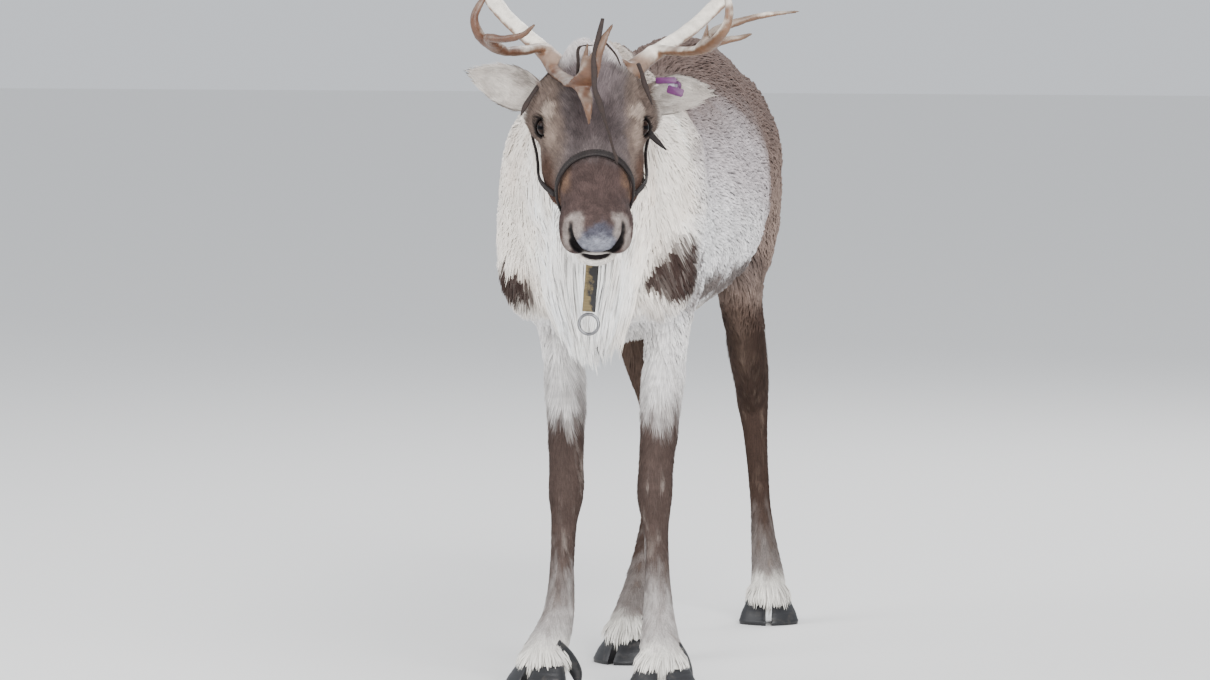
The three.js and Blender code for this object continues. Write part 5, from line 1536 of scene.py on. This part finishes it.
def stitch_tree():
    """Geometry Nodes: short threads set at an even gap along a seam line, each lying along it."""
    tree = bpy.data.node_groups.new("stitches", "GeometryNodeTree")
    sockets = (("Seam", "Geometry"), ("Gap", "Float"), ("Length", "Float"), ("Thread", "Float"))
    for label, kind in (*sockets, ("Material", "Material")):
        tree.interface.new_socket(label, in_out="INPUT", socket_type="NodeSocket" + kind)
    tree.interface.new_socket("Stitches", in_out="OUTPUT", socket_type="NodeSocketGeometry")
    come = add(tree, "NodeGroupInput")
    spaced = add(tree, "GeometryNodeResampleCurve", {"mode": "LENGTH"},
                 links={"Curve": come.outputs["Seam"], "Length": come.outputs["Gap"]})
    thread = add(tree, "GeometryNodeMeshCylinder", {"fill_type": "NGON"}, {"Vertices": 6},
                 {"Radius": come.outputs["Thread"], "Depth": come.outputs["Length"]})
    line = add(tree, "GeometryNodeInputTangent")
    turn = add(tree, "FunctionNodeAlignRotationToVector", {"axis": "Z"},
               links={"Vector": line.outputs["Tangent"]})
    laid = add(tree, "GeometryNodeInstanceOnPoints", links={
        "Points": spaced.outputs["Curve"], "Instance": thread.outputs["Mesh"], "Rotation": turn.outputs[0]})
    real = add(tree, "GeometryNodeRealizeInstances", links={"Geometry": laid.outputs["Instances"]})
    done = add(tree, "GeometryNodeSetMaterial",
               links={"Geometry": real.outputs["Geometry"], "Material": come.outputs["Material"]})
    add(tree, "NodeGroupOutput", links={"Stitches": done.outputs["Geometry"]})
    return tree


stitches = stitch_tree()
# Waxed linen thread: dark, dull, with a twist that shows as a slight change of tone.
linen = mottled("waxed linen thread", 0.6, "#16120f", "#3a322a", 900.0)


def sewn(name, line, closed, gap=0.005, length=0.0032, thread=0.0004):
    """Stitches along a seam line in metres, as one plain mesh."""
    seam = bpy.data.curves.new(name, "CURVE")
    seam.dimensions = "3D"
    spline = seam.splines.new("POLY")
    spline.points.add(len(line) - 1)
    spline.points.foreach_set("co", np.hstack([line, np.ones((len(line), 1))]).ravel())
    spline.use_cyclic_u = closed
    guide = bpy.data.objects.new(name, seam)
    bpy.context.scene.collection.objects.link(guide)
    sew = guide.modifiers.new("stitches", "NODES")
    sew.node_group = stitches
    for item in stitches.interface.items_tree:
        value = {"Gap": gap, "Length": length, "Thread": thread, "Material": linen}.get(item.name)
        if value is not None and item.in_out == "INPUT":
            sew[item.identifier] = value
    bpy.context.view_layer.update()
    mesh = bpy.data.meshes.new_from_object(guide.evaluated_get(bpy.context.evaluated_depsgraph_get()))
    guide.modifiers.clear()
    bpy.data.objects.remove(guide)
    return shown(name, mesh)


for name, (start, way, width, closed) in straps.items():
    mesh, middle = strap(start, way, width, closed)
    mesh.materials.append(leather)
    band = shown(name + "_strap", mesh)
    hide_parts(name)
    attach(band, "root")
    spots = curve(middle, len(middle) * 6, closed)
    ways = outwards(spots)
    along = unit(np.roll(spots, -1, 0) - np.roll(spots, 1, 0))
    across = np.cross(along, ways)
    for edge, s in (("upper", 1), ("lower", -1)):
        line = spots + ways * (STRAP_THICK / 2 + 0.1) + across * s * (width / 2 - 2.2)
        row = sewn(f"{name}_stitches_{edge}", metres(line[3:-3] if not closed else line), closed)
        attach(row, "root")

# The loose end of the left cheek strap, cut to a point, stands out behind the eye.
END = [(150, -366, 953, 5.5, 2), (157, -356, 944, 5.2, 2), (166, -350, 934, 4, 1.8), (178, -347, 922, 1, 0.8)]
end = shown("halter_cheek_left_end", swept_mesh(swept(END, 16, 18, side=(0.55, 0, 0.83), square=4)))
end.data.materials.append(leather)
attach(end, "root")

# The drop: narrow polyester webbing, matt, with ribs 2.4 mm apart, worn olive along one edge.
webbing, tree, shader = material("worn polyester webbing", 0.75)
where = add(tree, "ShaderNodeTexCoord").outputs["Object"]
weave = add(tree, "ShaderNodeTexWave", {"bands_direction": "Z"},
            {"Scale": 130.0, "Distortion": 1.5, "Detail": 2.0}, {"Vector": where})
apart = add(tree, "ShaderNodeSeparateXYZ", links={"Vector": where})
worn = add(tree, "ShaderNodeTexNoise", inputs={"Scale": 90.0, "Detail": 5.0}, links={"Vector": where})
ragged = add(tree, "ShaderNodeMath", {"operation": "MULTIPLY_ADD"}, {1: 0.045},
             {0: worn.outputs["Fac"], 2: apart.outputs["X"]})
edge = add(tree, "ShaderNodeMapRange",
           inputs={"From Min": 0.0425, "From Max": 0.0505, "To Min": 1.0, "To Max": 0.0},
           links={"Value": ragged.outputs["Value"]})
tones = add(tree, "ShaderNodeMix", {"data_type": "RGBA"}, {6: rgba("#1b191a"), 7: rgba("#6b5c3c")},
            {"Factor": edge.outputs["Result"]})
dark = add(tree, "ShaderNodeMapRange", inputs={"To Min": 0.7, "To Max": 1.2},
           links={"Value": weave.outputs["Fac"]})
tint = add(tree, "ShaderNodeVectorMath", {"operation": "SCALE"},
           links={0: tones.outputs[2], "Scale": dark.outputs["Result"]})
finish(tree, shader, tint.outputs["Vector"], weave.outputs["Fac"], (0.6, 0.0006))
DROP = [(80, -449, 792, 10.5, 3), (79, -450, 770, 10.5, 2), (76, -451, 724, 10.5, 2), (72, -449, 682, 10.5, 2),
        (71, -449, 668, 10.5, 3)]
drop = shown("halter_drop_webbing", swept_mesh(swept(DROP, 24, 30, square=6)))
drop.data.materials.append(webbing)
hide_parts("halter_drop")
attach(drop, "root")

# The ring: bent steel wire, zinc plated, gone dull in cloudy patches.
steel = mottled("zinc plated steel", 0.32, "#4c4b4d", "#98989a", 140.0, 4.0, Metallic=1.0)
RING_AT, RING_RADIUS, RING_WIRE = np.array([71.0, -449, 648]), 16, 2.6
ring_path = [
    (*(RING_AT + RING_RADIUS * np.array([math.cos(a), 0, math.sin(a)])), RING_WIRE, RING_WIRE)
    for a in np.arange(12) / 12 * 2 * math.pi
]
ring = shown("halter_ring_steel", swept_mesh(swept(ring_path, 14, 60, True, side=(0, 1, 0))))
ring.data.materials.append(steel)
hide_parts("halter_ring")
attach(ring, "root")

# Ear tag
# Two bare plates of purple plastic in front of the left ear, joined by a short grey link.
# A pin goes through the ear to a round back plate and holds them.
# Moulded polyurethane: smooth and half-glossy, faded in soft patches by the sun.
plastic = mottled("moulded polyurethane tag", 0.38, "#34103a", "#63205c", 80.0, 3.0, (0.2, 0.0005))


def plate(work, size, at, turn=0.0, corner=3.0, made_of=0):
    """A plate of rounded outline, size in millimetres, standing across the view along y."""
    w, t, h = size
    outline = []
    for cx, cz, first in ((1, 1, 0), (-1, 1, 90), (-1, -1, 180), (1, -1, 270)):
        for k in range(5):
            a = math.radians(first + 22.5 * k)
            x, z = cx * (w / 2 - corner), cz * (h / 2 - corner)
            outline.append((x + corner * math.cos(a), z + corner * math.sin(a)))
    c, d = math.cos(math.radians(turn)), math.sin(math.radians(turn))
    rings = []
    for y in (-t / 2, t / 2):
        spots = [(at[0] + c * x - d * z, at[1] + y, at[2] + d * x + c * z) for x, z in outline]
        rings.append([work.verts.new(metres([spot])[0]) for spot in spots])
    n = len(outline)
    made = [work.faces.new(rings[0]), work.faces.new(rings[1][::-1])]
    for i in range(n):
        made.append(work.faces.new((rings[0][i], rings[1][i], rings[1][(i + 1) % n], rings[0][(i + 1) % n])))
    for face in made:
        face.material_index = made_of


work = bmesh.new()
plate(work, (34, 4, 10), (176, -340, 1033.5), 1.5)
plate(work, (27, 4, 13), (191, -339.2, 1016.5), -17)
plate(work, (11, 3.4, 19), (184, -338.6, 1026), 12, 2.5, 1)
plate(work, (6, 42, 6), (186, -320, 1024), 0, 2.9, 1)
plate(work, (16, 4, 16), (186, -300, 1024), 0, 7.9)
bmesh.ops.recalc_face_normals(work, faces=work.faces)
mesh = bpy.data.meshes.new("ear_tag_plates")
work.to_mesh(mesh)
work.free()
# Grey nylon pin: plain, half-dull, slightly scuffed.
nylon = mottled("grey nylon pin", 0.5, "#6b6470", "#9a94a0", 200.0)
mesh.materials.append(plastic)
mesh.materials.append(nylon)
tag = shown("ear_tag_plates", mesh)
edges = tag.modifiers.new("edges", "BEVEL")
edges.width = 0.0007
edges.segments = 3
edges.limit_method = "ANGLE"
mesh.shade_smooth()
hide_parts("ear_tag")
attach(tag, "root")

# Camera
# It stands 10 m in front of the animal, 11 degrees to its left and a little above its head, with a long lens,
# and frames the figure as the photo does.
view = bpy.data.cameras.new("camera")
camera = bpy.data.objects.new("camera", view)
bpy.context.scene.collection.objects.link(camera)
camera.location = (1.8310, -9.8522, 1.322)
camera.rotation_euler = (math.radians(90 - 4.2795), 0, math.radians(11))
view.lens = 174.94
view.sensor_width = 36
view.sensor_fit = "HORIZONTAL"
bpy.context.scene.camera = camera

# Floor and light
# A plain pale studio floor without an edge in view, and an even sky with four large softboxes.
# They stand round the figure: one high in front on each side, one low in front and one behind.
floor_mesh = bpy.data.meshes.new("floor")
floor_mesh.from_pydata([(-30, -30, 0), (30, -30, 0), (30, 30, 0), (-30, 30, 0)], [], [(0, 1, 2, 3)])
floor = bpy.data.objects.new("floor", floor_mesh)
bpy.context.scene.collection.objects.link(floor)
# Floor paint: plain, pale and matt.
floor_paint, _, _ = material("plain pale floor", 0.9, Base_Color=rgba("#efeeec"))
floor_mesh.materials.append(floor_paint)
world = bpy.data.worlds.new("soft light")
world.use_nodes = True
world.node_tree.nodes["Background"].inputs["Color"].default_value = rgba("#d3d7dd")
world.node_tree.nodes["Background"].inputs["Strength"].default_value = 1.2
bpy.context.scene.world = world
# Each softbox's place and size in metres and its power in watts: key, fill, low front light and rim.
for place, size, power in (
    ((2.5, -4.5, 4.5), 3.0, 380), ((-4.5, -2.5, 3.5), 3.5, 200),
    ((1.4, -7.0, 1.1), 3.0, 340), ((1.0, 4.0, 4.0), 3.0, 150),
):
    light = bpy.data.lights.new("softbox", "AREA")
    light.energy = power
    light.size = size
    lamp = bpy.data.objects.new("softbox", light)
    lamp.location = place
    lamp.rotation_euler = (Vector((0, 0, 0.9)) - Vector(place)).to_track_quat("-Z", "Y").to_euler()
    bpy.context.scene.collection.objects.link(lamp)
